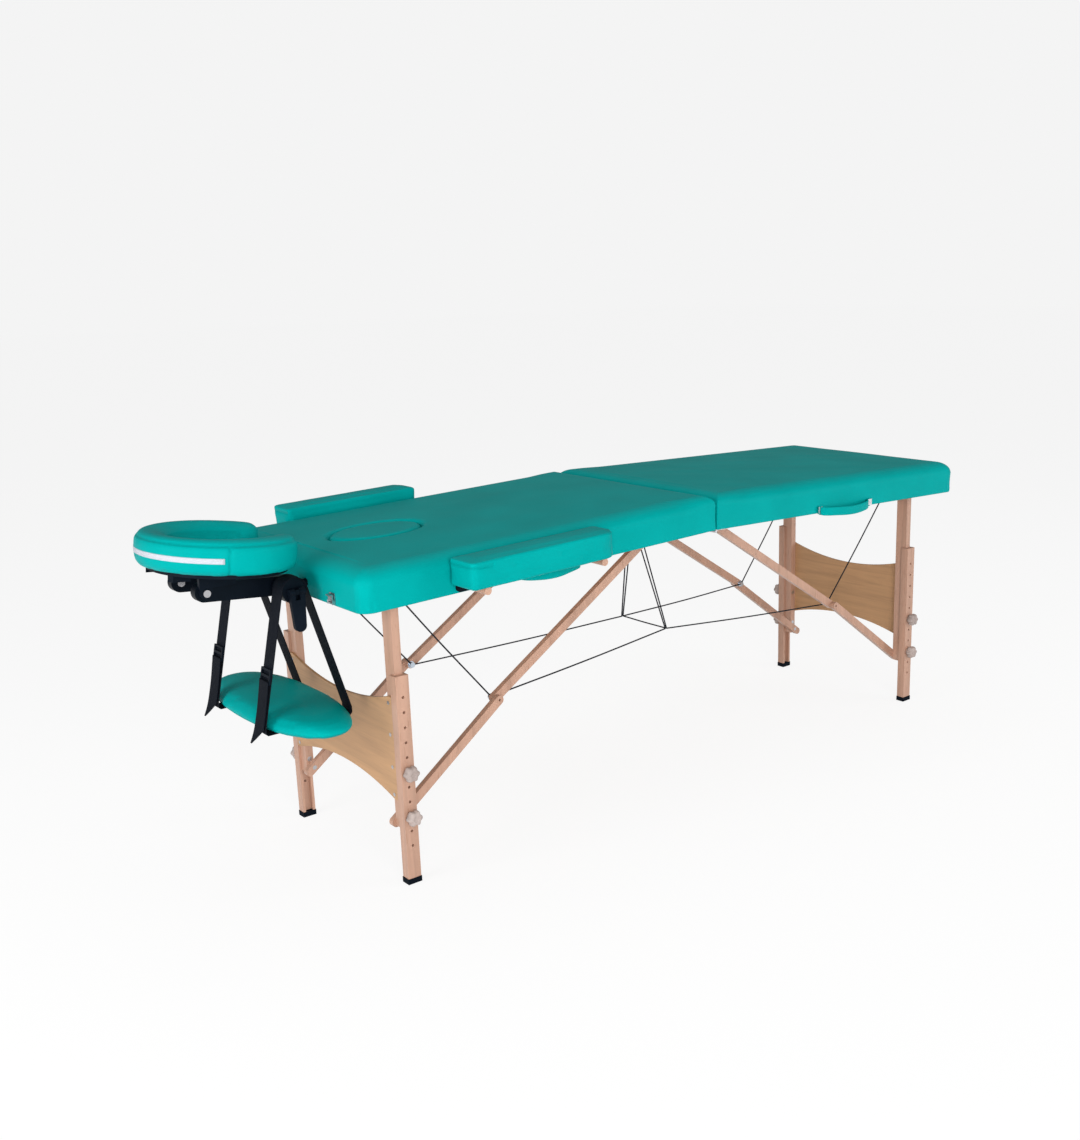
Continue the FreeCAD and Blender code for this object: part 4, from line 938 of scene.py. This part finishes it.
class TABLE_OT_cradle_cushion(bpy.types.Operator):
    """Makes the horseshoe cushion of the face cradle, fills it, and lays the tape band round it"""

    bl_idname = "table.cradle_cushion"
    bl_label = "Cradle cushion"

    def execute(self, context):
        cushion = capped("cradle_ring_cushion", ring_sections(), FINISHES["sewn_vinyl"])
        fill_with_air(cushion, voxel=0.0045, cap=context.scene.table_sizes.swell)
        self.sew(cushion)
        soften(cushion)
        declare(cushion, "cradle_head", "cradle_cushion")
        self.lay_tape(cushion)
        return {"FINISHED"}

    def sew(self, cushion):
        """Sets the cushion down on its platform and over the platform's edge, and draws in its seams: round
        the outside below the top, round the inside, and up the outside at both ends of the tape."""
        place = off_cradle(mesh_points(cushion.data))
        bearing = np.arctan2(place[:, 1] / RING_WIDE, place[:, 0] / RING_LONG)
        line, out = ring_line(bearing)
        reach = ((place[:, :2] - line) * out).sum(-1)
        height = np.maximum(place[:, 2], RING_REST - PLATFORM_DROP * smooth_step(*PLATFORM_EDGE, reach))
        place[:, 2] = height
        upper = np.abs(height - RING_UPPER_SEAM) + NO_SEAM * (reach < RING_OUTER_WALL)
        inner = np.abs(reach - RING_INNER_SEAM) + NO_SEAM * (height < RING_INNER_LOW)
        around = np.abs((bearing[:, None] - RING_JOINS + math.pi) % FULL_TURN - math.pi).min(1)
        no_join = (height > RING_UPPER_SEAM) | (reach < 0.0)
        upright = around * (RING_JOIN_RADIUS + reach) + NO_SEAM * no_join
        seam = np.minimum.reduce([upper, inner, upright])
        set_points(cushion, on_cradle(drawn_in(place, seam, at_height(line, RING_MIDDLE))))
        keep_seam(cushion, seam)

    def lay_tape(self, cushion):
        """Drops a band of points on the cushion's outer side, and stands its face half its thickness off
        the vinyl and its back as far below."""
        found = BVHTree.FromObject(cushion, bpy.context.evaluated_depsgraph_get())
        bearing = np.radians(np.linspace(*TAPE_ENDS, 90))
        height = np.linspace(TAPE_LOW, TAPE_HIGH, 6)
        far = on_cradle(ring_points(bearing[:, None], TAPE_DROPPED_FROM, height))
        near = on_cradle(ring_points(bearing[:, None], 0.0, height))
        away = unit(far - near)
        face = []
        for start, end, out in zip(far.reshape(-1, 3), near.reshape(-1, 3), away.reshape(-1, 3)):
            hit = found.ray_cast(Vector(start), Vector(-out))[0]
            face.append(np.array(hit if hit else end + out * RING_HALF) + out * TAPE_THICK / 2)
        face = np.reshape(face, far.shape)
        back = face - away * TAPE_THICK
        sections = np.concatenate([face, back[:, ::-1]], axis=1)
        across = np.concatenate([height, height[::-1]]) - (TAPE_LOW + TAPE_HIGH) / 2
        uv = grid_map(across, bearing * (RING_LONG + RING_HALF))
        band = capped("cradle_tape_band", sections, FINISHES["tape"], uv)
        declare(band, "cradle_head", "cradle_tape")


# Armrests
REST_IN, REST_OUT, REST_MIDDLE = 0.3036, 0.388, 0.346
REST_CLEAR, REST_WALL = 0.3032, 0.309
REST_LOW, REST_TOP = 0.0203, 0.076
REST_ROUND_FOOT, REST_ROUND_HEAD, REST_ROUND_IN = 0.038, 0.014, 0.006
REST_SEAM_DROP = 0.011
REST_SEWN, REST_FREE = 0.004, 0.030
REST_SWELL_SHARE = 0.4
REST_SEAM_FADE, REST_SPINE_ENDS = (0.10, 0.05), (0.04, 0.03)
# Each armrest: side, name, its two ends along the head half, and how much higher it is
RESTS = ((NEAR, "near", 0.368, 0.738, 0.0), (FAR, "far", 0.430, 0.770, 0.024))


def rest_outline(x0, x1, inset):
    """Plan of an armrest in even steps: straight along the table, a large round at the foot end and a
    small one at the head end."""
    y0, y1 = REST_IN + inset * 0.5, REST_OUT - inset
    a0, a1 = x0 + inset, x1 - inset
    big, small, tight = REST_ROUND_FOOT - inset, max(REST_ROUND_HEAD - inset, 0.004), REST_ROUND_IN
    ring = np.concatenate([
        quarter_arc(a1 - tight, y0 + tight, tight, -90, 6),
        quarter_arc(a1 - small, y1 - small, small, 0, 12),
        quarter_arc(a0 + big, y1 - big, big, 90, 30),
        quarter_arc(a0 + tight, y0 + tight, tight, 180, 6),
    ])
    ring = np.concatenate([ring, ring[:1]])
    run = distance_along(ring)
    at = np.linspace(0, run[-1], 200, endpoint=False)
    return np.stack([np.interp(at, run, ring[:, 0]), np.interp(at, run, ring[:, 1])], -1)


def rest_rings(x0, x1, low, top):
    """Rings of an armrest from the middle of its underside, up the wall and over the rounded edge to the
    middle of its top."""
    wall = [(0.001, z) for z in np.linspace(low + 0.012, top - 0.012, 6)]
    profile = [(0.040, low), (0.006, low), (0.0025, low + 0.001), (0.001, low + 0.0045), *wall,
               (0.001, top - 0.005), (0.002, top - 0.0018), (0.005, top - 0.0004), (0.010, top),
               (0.020, top + 0.0006), (0.032, top + 0.001)]
    rings = np.stack([at_height(rest_outline(x0, x1, inset), z) for inset, z in profile])
    first, last = (np.broadcast_to(ring.mean(axis=0), ring.shape) for ring in (rings[0], rings[-1]))
    return np.concatenate([[first], rings, [last]])


class TABLE_OT_armrests(bpy.types.Operator):
    """Makes the two padded armrests and fills them"""

    bl_idname = "table.armrests"
    bl_label = "Armrests"

    def execute(self, context):
        cap = context.scene.table_sizes.swell * REST_SWELL_SHARE
        for side, label, x0, x1, rise in RESTS:
            size = (side, x0, x1, REST_LOW, REST_TOP + rise)
            rings = rest_rings(*size[1:]) * (1.0, side, 1.0)
            pad = shell(label + "_armrest", on_half(rings, HEAD), FINISHES["sewn_vinyl"])
            fill_with_air(pad, voxel=0.0038, cap=cap, still=lambda points: self.from_edges(points, *size))
            self.sew(pad, *size)
            soften(pad)
            declare(pad, label + "_rest", label + "_rest_pad")
        return {"FINISHED"}

    def from_edges(self, points, side, x0, x1, low, top):
        """Runs from 0 on the pad's sewn upper and lower edges to 1 in the middle of its panels."""
        p = off_half(points, HEAD)
        away = side * p[:, 1]
        inset = np.minimum.reduce([p[:, 0] - x0, x1 - p[:, 0], away - REST_IN, REST_OUT - away])
        height = np.minimum(np.abs(top - p[:, 2]), np.abs(p[:, 2] - low))
        return smooth_step(REST_SEWN, REST_FREE, np.hypot(inset, height))

    def sew(self, pad, side, x0, x1, low, top):
        """Keeps the pad on its board and clear of the table, and draws in a seam round the head end below
        the top."""
        p = off_half(mesh_points(pad.data), HEAD)
        p[:, 2] = np.maximum(p[:, 2], low)
        away = np.maximum(side * p[:, 1], REST_CLEAR)
        p[:, 1] = side * away
        seam = np.abs(p[:, 2] - (top - REST_SEAM_DROP)) + NO_SEAM * (away < REST_WALL)
        fade_start, fade_end = (x1 - distance for distance in REST_SEAM_FADE)
        seam = seam + NO_SEAM * (1 - smooth_step(fade_start, fade_end, p[:, 0]))
        spine = np.clip(p[:, 0], x0 + REST_SPINE_ENDS[0], x1 - REST_SPINE_ENDS[1])
        middle = np.column_stack([spine, np.full(len(p), side * REST_MIDDLE), p[:, 2]])
        set_points(pad, on_half(drawn_in(p, seam, middle), HEAD))
        keep_seam(pad, seam)


# Arm shelf
SHELF_X = SHIFT[0] - 0.971615
SHELF_LOW = 0.3563
SHELF_WIDE, SHELF_LONG, SHELF_POWER = 0.095, 0.249, 2.2
SHELF_ROOM = 0.001
SHELF_SEAM = 0.0045
SHELF_SWELL_SHARE = 0.6
# The shelf pad: share of its outline, and height above its underside
SHELF_PROFILE = (
    (0.0, 0.0), (0.90, 0.0), (0.955, 0.0008), (0.985, 0.004), (0.997, 0.0095), (0.985, 0.0145),
    (0.955, 0.0185), (0.91, 0.0218), (0.84, 0.0252), (0.70, 0.0287), (0.5, 0.0311), (0.25, 0.0323),
    (0.0, 0.0326),
)


class TABLE_OT_shelf(bpy.types.Operator):
    """Makes the pad of the hanging arm shelf, a drawn-out rounded oval in plan, and fills it"""

    bl_idname = "table.shelf"
    bl_label = "Arm shelf"

    def execute(self, context):
        turn = round_turn(200)
        across = (SHELF_WIDE - SHELF_ROOM) * blunt(np.cos(turn), 2 / SHELF_POWER)
        along = (SHELF_LONG - SHELF_ROOM) * blunt(np.sin(turn), 2 / SHELF_POWER)
        middle = np.array([SHELF_X, 0.0, SHELF_LOW])
        rings = scaled_rings(np.column_stack([across, along]), SHELF_PROFILE) + middle
        pad = shell("shelf_cushion", rings, FINISHES["sewn_vinyl"])
        fill_with_air(pad, voxel=0.0045, cap=context.scene.table_sizes.swell * SHELF_SWELL_SHARE)
        p = mesh_points(pad.data) - middle
        p[:, 2] = np.maximum(p[:, 2], 0.0)
        out = (np.abs(p[:, :2]) / (SHELF_WIDE, SHELF_LONG)) ** SHELF_POWER
        out = out.sum(1) ** (1 / SHELF_POWER)
        p[:, :2] /= np.maximum(out, 1.0)[:, None]
        set_points(pad, p + middle)
        keep_seam(pad, np.abs(p[:, 2] - SHELF_SEAM) + NO_SEAM * (out < 0.9))
        soften(pad)
        declare(pad, "shelf", "shelf_pad")
        return {"FINISHED"}


# Straps
STRAP_SIDE = 0.110
STRAP_WIDTH, STRAP_THICK = 0.040, 0.002
STRAP_RADIUS = DRUM_RADIUS + 0.0005 + STRAP_THICK / 2
STRAP_REACH = 0.093304
STRAP_LOW, STRAP_LEAVES = 0.3546, 0.370
STRAP_TUCK, STRAP_BEND = 0.034, 0.004
STRAP_ROUNDING = 0.5
BUCKLE_HEIGHT = 0.469
TAIL_WIDTH, TAIL_THICK, TAIL_CUT = 0.038, 0.0018, 0.034
# The tail: distance down from the buckle, and distance outside the strap
TAIL = ((0.009, 0.0066), (0.030, 0.0054), (0.060, 0.0042), (0.085, 0.0042), (0.107, 0.0048),
        (0.124, 0.0065), (0.139, 0.0095))


def strap_foot(x, inward):
    """One end of a strap seen from the side: out under the board, round its edge and up beside it."""
    under = x + inward * np.linspace(STRAP_TUCK, STRAP_BEND, 8)
    up = np.linspace(STRAP_LOW + STRAP_BEND, STRAP_LEAVES, 4)
    below = np.stack([under, np.full(len(under), STRAP_LOW)], -1)
    beside = np.stack([np.full(len(up), x), up], -1)
    return np.concatenate([below, beside])


def strap_route(front, back):
    """A strap seen from the side: up from the shelf's front edge, over the drum and down to its back edge,
    with straight runs that touch the drum's circle. Also gives the point where the front run does."""
    drum = on_half([DRUM_OUT, 0.0, DRUM_RISE], HEAD)[[0, 2]]

    def touch(point, side):
        gap = point - drum
        return math.atan2(gap[1], gap[0]) + side * math.acos(STRAP_RADIUS / np.hypot(*gap))

    turn = np.linspace(touch(front, -1) + FULL_TURN, touch(back, 1), 40)
    wrap = drum + STRAP_RADIUS * np.column_stack([np.cos(turn), np.sin(turn)])
    run = np.linspace(0, 1, 24)[1:-1, None]
    rise = front * (1 - run) + wrap[0] * run
    fall = wrap[-1] * (1 - run) + back * run
    feet = strap_foot(front[0], 1), strap_foot(back[0], -1)[::-1]
    return np.concatenate([feet[0], rise, wrap, fall, feet[1]]), wrap[0]


def tail_route(front, top):
    """A strap's loose tail seen from the side: from the buckle down the front run, a little outside it."""
    down = unit(front - top)
    outside = np.array([down[1], -down[0]])
    buckle = top + (front - top) * (top[1] - BUCKLE_HEIGHT) / (top[1] - front[1])
    return np.array([buckle + down * a + outside * b for a, b in TAIL])


class TABLE_OT_straps(bpy.types.Operator):
    """Lays the webbing straps over the drums and round the shelf, with their loose tails"""

    bl_idname = "table.straps"
    bl_label = "Webbing straps"

    def execute(self, context):
        front = np.array([SHELF_X - STRAP_REACH, STRAP_LEAVES])
        back = np.array([SHELF_X + STRAP_REACH, STRAP_LEAVES])
        route, top = strap_route(front, back)
        tail = tail_route(front, top)
        across = (0.0, 1.0, 0.0)
        webbing = FINISHES["webbing"]
        for side, label in SIDES:
            y = side * STRAP_SIDE
            path = np.insert(route, 1, y, axis=1)
            strap = ribbon(label + "_shelf_strap", path, across, STRAP_WIDTH, STRAP_THICK, webbing,
                           STRAP_ROUNDING)
            hang = spline_path(np.insert(tail, 1, y, axis=1))
            run = distance_along(hang)
            wide = TAIL_WIDTH - TAIL_CUT * np.clip((run - run[-1] + TAIL_CUT) / TAIL_CUT, 0.0, 1.0)
            hang[:, 1] += (TAIL_WIDTH - wide) / 2
            loose = ribbon(label + "_strap_tail", hang, across, wide, TAIL_THICK, webbing, STRAP_ROUNDING)
            for band in (strap, loose):
                declare(band, "shelf", "shelf_straps")
        return {"FINISHED"}


# Handles
# Each handle: half, name, and its two ends along the half
HANDLES = ((FOOT, "foot", 0.356, 0.557), (HEAD, "head", 0.417, 0.575))
HANDLE_BOW, HANDLE_SAG, HANDLE_BULGE = 0.024, 0.007, 0.016
HANDLE_OFF, HANDLE_RISE = 0.0022, 0.008
HANDLE_TAB, BULGE_AT, BULGE_SPAN = 0.07, 0.13, 0.09
HANDLE_THIN, HANDLE_FILL = 0.0035, 0.003
HANDLE_WIDTH, HANDLE_SPREAD = 0.020, 0.002


class TABLE_OT_handles(bpy.types.Operator):
    """Makes the two carrying handles: soft bands that bow out and sag between their end plates"""

    bl_idname = "table.handles"
    bl_label = "Carrying handles"

    def execute(self, context):
        share = np.linspace(0, 1, 60)
        arch = np.sin(math.pi * share)
        free = np.clip((share - HANDLE_TAB) / (1 - 2 * HANDLE_TAB), 0, 1)
        bow = HANDLE_BOW * np.sin(math.pi * free) ** 0.5
        bulge = bell(share - BULGE_AT, BULGE_SPAN) - 0.2 * bell(share - 1 + BULGE_AT, BULGE_SPAN)
        y = -HALF_WIDTH - HANDLE_OFF - bow
        z = HANDLE_RISE - HANDLE_SAG * arch ** 0.9
        thick = HANDLE_THIN + HANDLE_FILL * smooth_step(0.08, 0.22, np.minimum(share, 1 - share))
        wide = HANDLE_WIDTH + HANDLE_SPREAD * arch
        for end, label, start, stop in HANDLES:
            x = start + (stop - start) * share - HANDLE_BULGE * bulge
            path = on_half(np.column_stack([x, y, z]), end)
            up = half_normal(end)
            band = ribbon(label + "_carry_handle", path, up, wide, thick, FINISHES["vinyl"], 0.8, sides=20)
            declare(band, label + "_frame", label + "_handle")
        return {"FINISHED"}


# Stay cords
EYE_OUT, EYE_SIDE, EYE_RISE = 0.815, 0.172, 0.031
LOOP_X = {FOOT: 0.0352, HEAD: 0.0308}
LOOP_SIDE, LOOP_HEIGHT = 0.084, 0.343
STAPLE = (0.0075, 0.0, -0.002)
STAPLE_SIDE = 0.005
EYE_STOP, KNEE_STOP, LOOP_STOP = 0.0063, 0.0070, 0.0032
EYE_SAG, KNEE_SAG, CROSS_SAG = 0.004, 0.003, 0.0008
CORD_HELD = 0.02
FOLDED_AT = (0.4, 0.0, 0.0055)


class TABLE_OT_stay_cords(bpy.types.Operator):
    """Strings the stay cords: eye to knee, knee to loop, loop to hinge, and across between the loops"""

    bl_idname = "table.stay_cords"
    bl_label = "Stay cords"

    def execute(self, context):
        thick = context.scene.table_sizes.cord
        for end, label in ENDS:
            normal = half_normal(end)
            anchor = on_half(FOLDED_AT, end)
            for name, start, stop, sag in self.runs(end, thick):
                path = self.route(start, stop, sag)
                cord = tube(label + "_cord_" + name, path, thick / 2, FINISHES["cord"])
                declare(cord, label + "_frame", label + "_stay_cords")
                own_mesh(cord)
                tuple(start)
        return {"FINISHED"}

    def runs(self, end, thick):
        """Each cord of one half: its name, its ends, drawn back from what they are tied to, and its sag."""
        staple = on_half(STAPLE, end)
        loops = [SHIFT + np.array([LOOP_X[end], side * LOOP_SIDE, LOOP_HEIGHT]) for side, _ in SIDES]
        tied = []
        for (side, where), loop in zip(SIDES, loops):
            eye = on_half([EYE_OUT, side * EYE_SIDE, EYE_RISE], end)
            knee = on_half([KNEE_OUT, side * KNEE_SIDE, KNEE_RISE], end)
            top = np.array([staple[0], side * STAPLE_SIDE, staple[2] - thick / 2])
            tied.append((where + "_eye", eye, knee, EYE_STOP, KNEE_STOP, EYE_SAG))
            tied.append((where + "_knee", knee, loop, KNEE_STOP, 0.0, KNEE_SAG))
            tied.append((where + "_riser", loop, top, 0.0, 0.0, 0.0))
        if end == FOOT:
            tied.append(("cross", *loops, LOOP_STOP, LOOP_STOP, CROSS_SAG))
        for name, start, stop, start_gap, stop_gap, sag in tied:
            line = unit(stop - start)
            yield name, start + line * start_gap, stop - line * stop_gap, sag

    def route(self, start, stop, sag):
        """A cord's points: nearly straight, held in line at both ends and lowered in the middle."""
        length = np.linalg.norm(stop - start)
        held = unit(stop - start) * min(CORD_HELD, length / 4)
        middle = (start + stop) / 2 - np.array([0, 0, sag])
        return spline_path([start, start + held, middle, stop - held, stop], 8)


# Knobs
KNOB_FACE = 0.2423
KNOB_HEIGHTS = (("upper", 0.244), ("lower", 0.148))
KNOB_LOBES, LOBE_DEPTH = 6, 0.105
# The knob: radius, distance from the leg, and share of the lobes
KNOB_PROFILE = (
    (0.0, 0.0, 0.0), (0.0095, 0.0, 0.0), (0.0104, 0.0008, 0.0), (0.0104, 0.0050, 0.0),
    (0.0118, 0.0062, 0.5), (0.0142, 0.0068, 1.0), (0.0153, 0.0082, 1.0), (0.0156, 0.0115, 1.0),
    (0.0155, 0.0150, 1.0), (0.0150, 0.0178, 1.0), (0.0138, 0.0199, 1.0), (0.0118, 0.0213, 0.8),
    (0.0092, 0.0221, 0.5), (0.0066, 0.0225, 0.2), (0.0060, 0.0221, 0.0), (0.0054, 0.0213, 0.0),
    (0.0030, 0.0211, 0.0), (0.0, 0.0211, 0.0),
)


def knob_rings():
    """Rings of a knob about its bolt, along y: each row of the profile gives a radius, a distance from the
    leg, and how much of the lobes' wave the radius has."""
    turn = round_turn(72)
    radius, height, lobe = np.array(KNOB_PROFILE).T[..., None]
    r = radius * (1 + LOBE_DEPTH * lobe * np.cos(KNOB_LOBES * turn))
    return np.stack([r * np.cos(turn), np.broadcast_to(height, r.shape), r * np.sin(turn)], -1)


class TABLE_OT_knobs(bpy.types.Operator):
    """Makes the eight lobed knobs on the legs, with rounded lobes and a hub"""

    bl_idname = "table.knobs"
    bl_label = "Leg knobs"

    def execute(self, context):
        rings = knob_rings()
        for (end, end_name), (side, side_name), (label, z) in itertools.product(ENDS, SIDES, KNOB_HEIGHTS):
            name = end_name + "_" + side_name + "_" + label + "_knob"
            place = SHIFT + (end * LEG_X, side * KNOB_FACE, z)
            knob = shell(name + "_grip", rings * (1.0, side, 1.0) + place, FINISHES["knob"])
            declare(knob, name, name)
        return {"FINISHED"}


# Stage
FLOOR_HALF = 30.0
WORLD_STRENGTH = 0.26
BACKDROP = 0.905
# Each lamp: name, place, aim, size and power
LAMPS = (
    ("key_softbox", (-2.2, -4.0, 1.4), (0.0, 0.0, 0.5), 2.6, 136.0),
    ("end_softbox", (-3.8, -0.3, 1.2), (-0.6, 0.0, 0.5), 2.0, 60.0),
    ("top_softbox", (0.8, 0.6, 3.6), (0.0, 0.0, 0.6), 3.0, 16.0),
    ("fill_softbox", (3.0, -3.2, 1.3), (0.3, 0.0, 0.5), 2.4, 50.0),
)
# The camera's fit to the photograph, in pixels, radians and metres, and its sensor in millimetres
PHOTO_WIDTH, PHOTO_HEIGHT = 1080.0, 1140.0
FOCAL_PIXELS = 1274.15
OPTICAL_AXIS = (625.28, 590.58)
CAMERA_YAW, CAMERA_PITCH, CAMERA_ROLL = -0.708, 0.246, -0.022
CAMERA_PLACE = (-2.0526, -2.3663, 1.2195)
SENSOR = 36.0


class TABLE_OT_stage(bpy.types.Operator):
    """Sets the floor, the lights and the camera"""

    bl_idname = "table.stage"
    bl_label = "Stage"

    def execute(self, context):
        scene = context.scene
        scene.view_settings.view_transform = "Standard"
        corners = [(x * FLOOR_HALF, y * FLOOR_HALF, 0.0) for x, y in ((-1, -1), (1, -1), (1, 1), (-1, 1))]
        floor = new_piece("studio_floor", corners, [(0, 1, 2, 3)], self.floor_finish())
        scene.world = self.studio()
        for name, at, aim, size, power in LAMPS:
            self.lamp(scene, name, at, aim, size, power)
        self.camera(scene)
        return {"FINISHED"}

    def floor_finish(self):
        """Pale floor: mostly its own even light to the camera, with enough shading to hold the shadow."""
        s = Shader("pale_floor", grey(0.86), 0.9, specular=0.0)
        path = s.node("ShaderNodeLightPath")
        glow = s.node("ShaderNodeEmission", Color=(1.0, 1.0, 1.0, 1.0), Strength=0.86)
        plain = s.node("ShaderNodeBsdfDiffuse", Color=(0.16, 0.16, 0.16, 1.0))
        add = s.node("ShaderNodeAddShader")
        s.join(glow.outputs["Emission"], add.inputs[0])
        s.join(plain.outputs["BSDF"], add.inputs[1])
        mix = s.node("ShaderNodeMixShader")
        seen = s.math("MAXIMUM", path.outputs["Is Camera Ray"], path.outputs["Is Glossy Ray"])
        s.join(seen, mix.inputs["Fac"])
        s.join(s.main.outputs["BSDF"], mix.inputs[1])
        s.join(add.outputs["Shader"], mix.inputs[2])
        s.join(mix.outputs["Shader"], s.tree.nodes["Material Output"].inputs["Surface"])
        return s.material

    def studio(self):
        """A world that lights the table softly and shows a pale backdrop to the camera."""
        world = bpy.data.worlds.new("studio")
        world.use_nodes = True
        nodes, join = world.node_tree.nodes, world.node_tree.links.new
        light = nodes["Background"]
        light.inputs["Color"].default_value = (1.0, 1.0, 1.0, 1.0)
        light.inputs["Strength"].default_value = WORLD_STRENGTH
        seen = nodes.new("ShaderNodeBackground")
        seen.inputs["Color"].default_value = (*grey(BACKDROP), 1.0)
        seen.inputs["Strength"].default_value = 1.0
        path = nodes.new("ShaderNodeLightPath")
        any_ray = nodes.new("ShaderNodeMath")
        any_ray.operation = "MAXIMUM"
        join(path.outputs["Is Camera Ray"], any_ray.inputs[0])
        join(path.outputs["Is Transmission Ray"], any_ray.inputs[1])
        mix = nodes.new("ShaderNodeMixShader")
        join(any_ray.outputs["Value"], mix.inputs["Fac"])
        join(light.outputs["Background"], mix.inputs[1])
        join(seen.outputs["Background"], mix.inputs[2])
        join(mix.outputs["Shader"], nodes["World Output"].inputs["Surface"])
        return world

    def lamp(self, scene, name, at, aim, size, power):
        """A square soft lamp that faces its aim."""
        data = bpy.data.lights.new(name, "AREA")
        data.shape = "SQUARE"
        data.size = size
        data.energy = power
        obj = bpy.data.objects.new(name, data)
        obj.location = at
        obj.rotation_euler = (Vector(aim) - Vector(at)).to_track_quat("-Z", "Y").to_euler()
        scene.collection.objects.link(obj)

    def camera(self, scene):
        """The camera where the photograph was taken from: its place, three turns, lens and shift."""
        level, drop = math.cos(CAMERA_PITCH), math.sin(CAMERA_PITCH)
        right = Vector((math.cos(CAMERA_YAW), math.sin(CAMERA_YAW), 0.0))
        ahead = Vector((-math.sin(CAMERA_YAW) * level, math.cos(CAMERA_YAW) * level, -drop))
        up = right.cross(ahead)
        turned_right = right * math.cos(CAMERA_ROLL) + up * math.sin(CAMERA_ROLL)
        turned_up = up * math.cos(CAMERA_ROLL) - right * math.sin(CAMERA_ROLL)
        data = bpy.data.cameras.new("photo_camera")
        data.sensor_width = SENSOR
        data.sensor_fit = "AUTO"
        data.lens = FOCAL_PIXELS / PHOTO_HEIGHT * SENSOR
        data.shift_x = -(OPTICAL_AXIS[0] - PHOTO_WIDTH / 2) / PHOTO_HEIGHT
        data.shift_y = (OPTICAL_AXIS[1] - PHOTO_HEIGHT / 2) / PHOTO_HEIGHT
        data.clip_end = 100.0
        obj = bpy.data.objects.new("photo_camera", data)
        turn = Matrix((turned_right, turned_up, -ahead)).transposed()
        obj.matrix_world = Matrix.Translation(Vector(SHIFT) + Vector(CAMERA_PLACE)) @ turn.to_4x4()
        scene.collection.objects.link(obj)
        scene.camera = obj


STEPS = (TABLE_OT_finishes, TABLE_OT_stage, TABLE_OT_stay_cords, TABLE_OT_pads, TABLE_OT_face_plug,
         TABLE_OT_cradle_cushion, TABLE_OT_armrests, TABLE_OT_shelf, TABLE_OT_straps, TABLE_OT_handles,
         TABLE_OT_knobs)


class TABLE_PT_panel(bpy.types.Panel):
    """Lists the table's settings and its pieces"""

    bl_idname = "TABLE_PT_panel"
    bl_label = "Massage table"
    bl_space_type = "VIEW_3D"
    bl_region_type = "UI"
    bl_category = "Table"

    def draw(self, context):
        column = self.layout.column()
        for group in (context.scene.table_colours, context.scene.table_sizes):
            for name in group.__annotations__:
                column.prop(group, name)
        for step in STEPS:
            column.operator(step.bl_idname)


CLASSES = (TableColours, TableSizes) + STEPS + (TABLE_PT_panel,)


def register():
    """Adds the classes, and the settings to every scene."""
    for cls in CLASSES:
        bpy.utils.register_class(cls)
    bpy.types.Scene.table_colours = bpy.props.PointerProperty(type=TableColours)
    bpy.types.Scene.table_sizes = bpy.props.PointerProperty(type=TableSizes)


def unregister():
    """Takes back what register added."""
    del bpy.types.Scene.table_sizes
    del bpy.types.Scene.table_colours
    for cls in reversed(CLASSES):
        bpy.utils.unregister_class(cls)


def main():
    register()
    for step in STEPS:
        group, name = step.bl_idname.split(".")
        getattr(getattr(bpy.ops, group), name)()


if __name__ == "__main__":
    main()
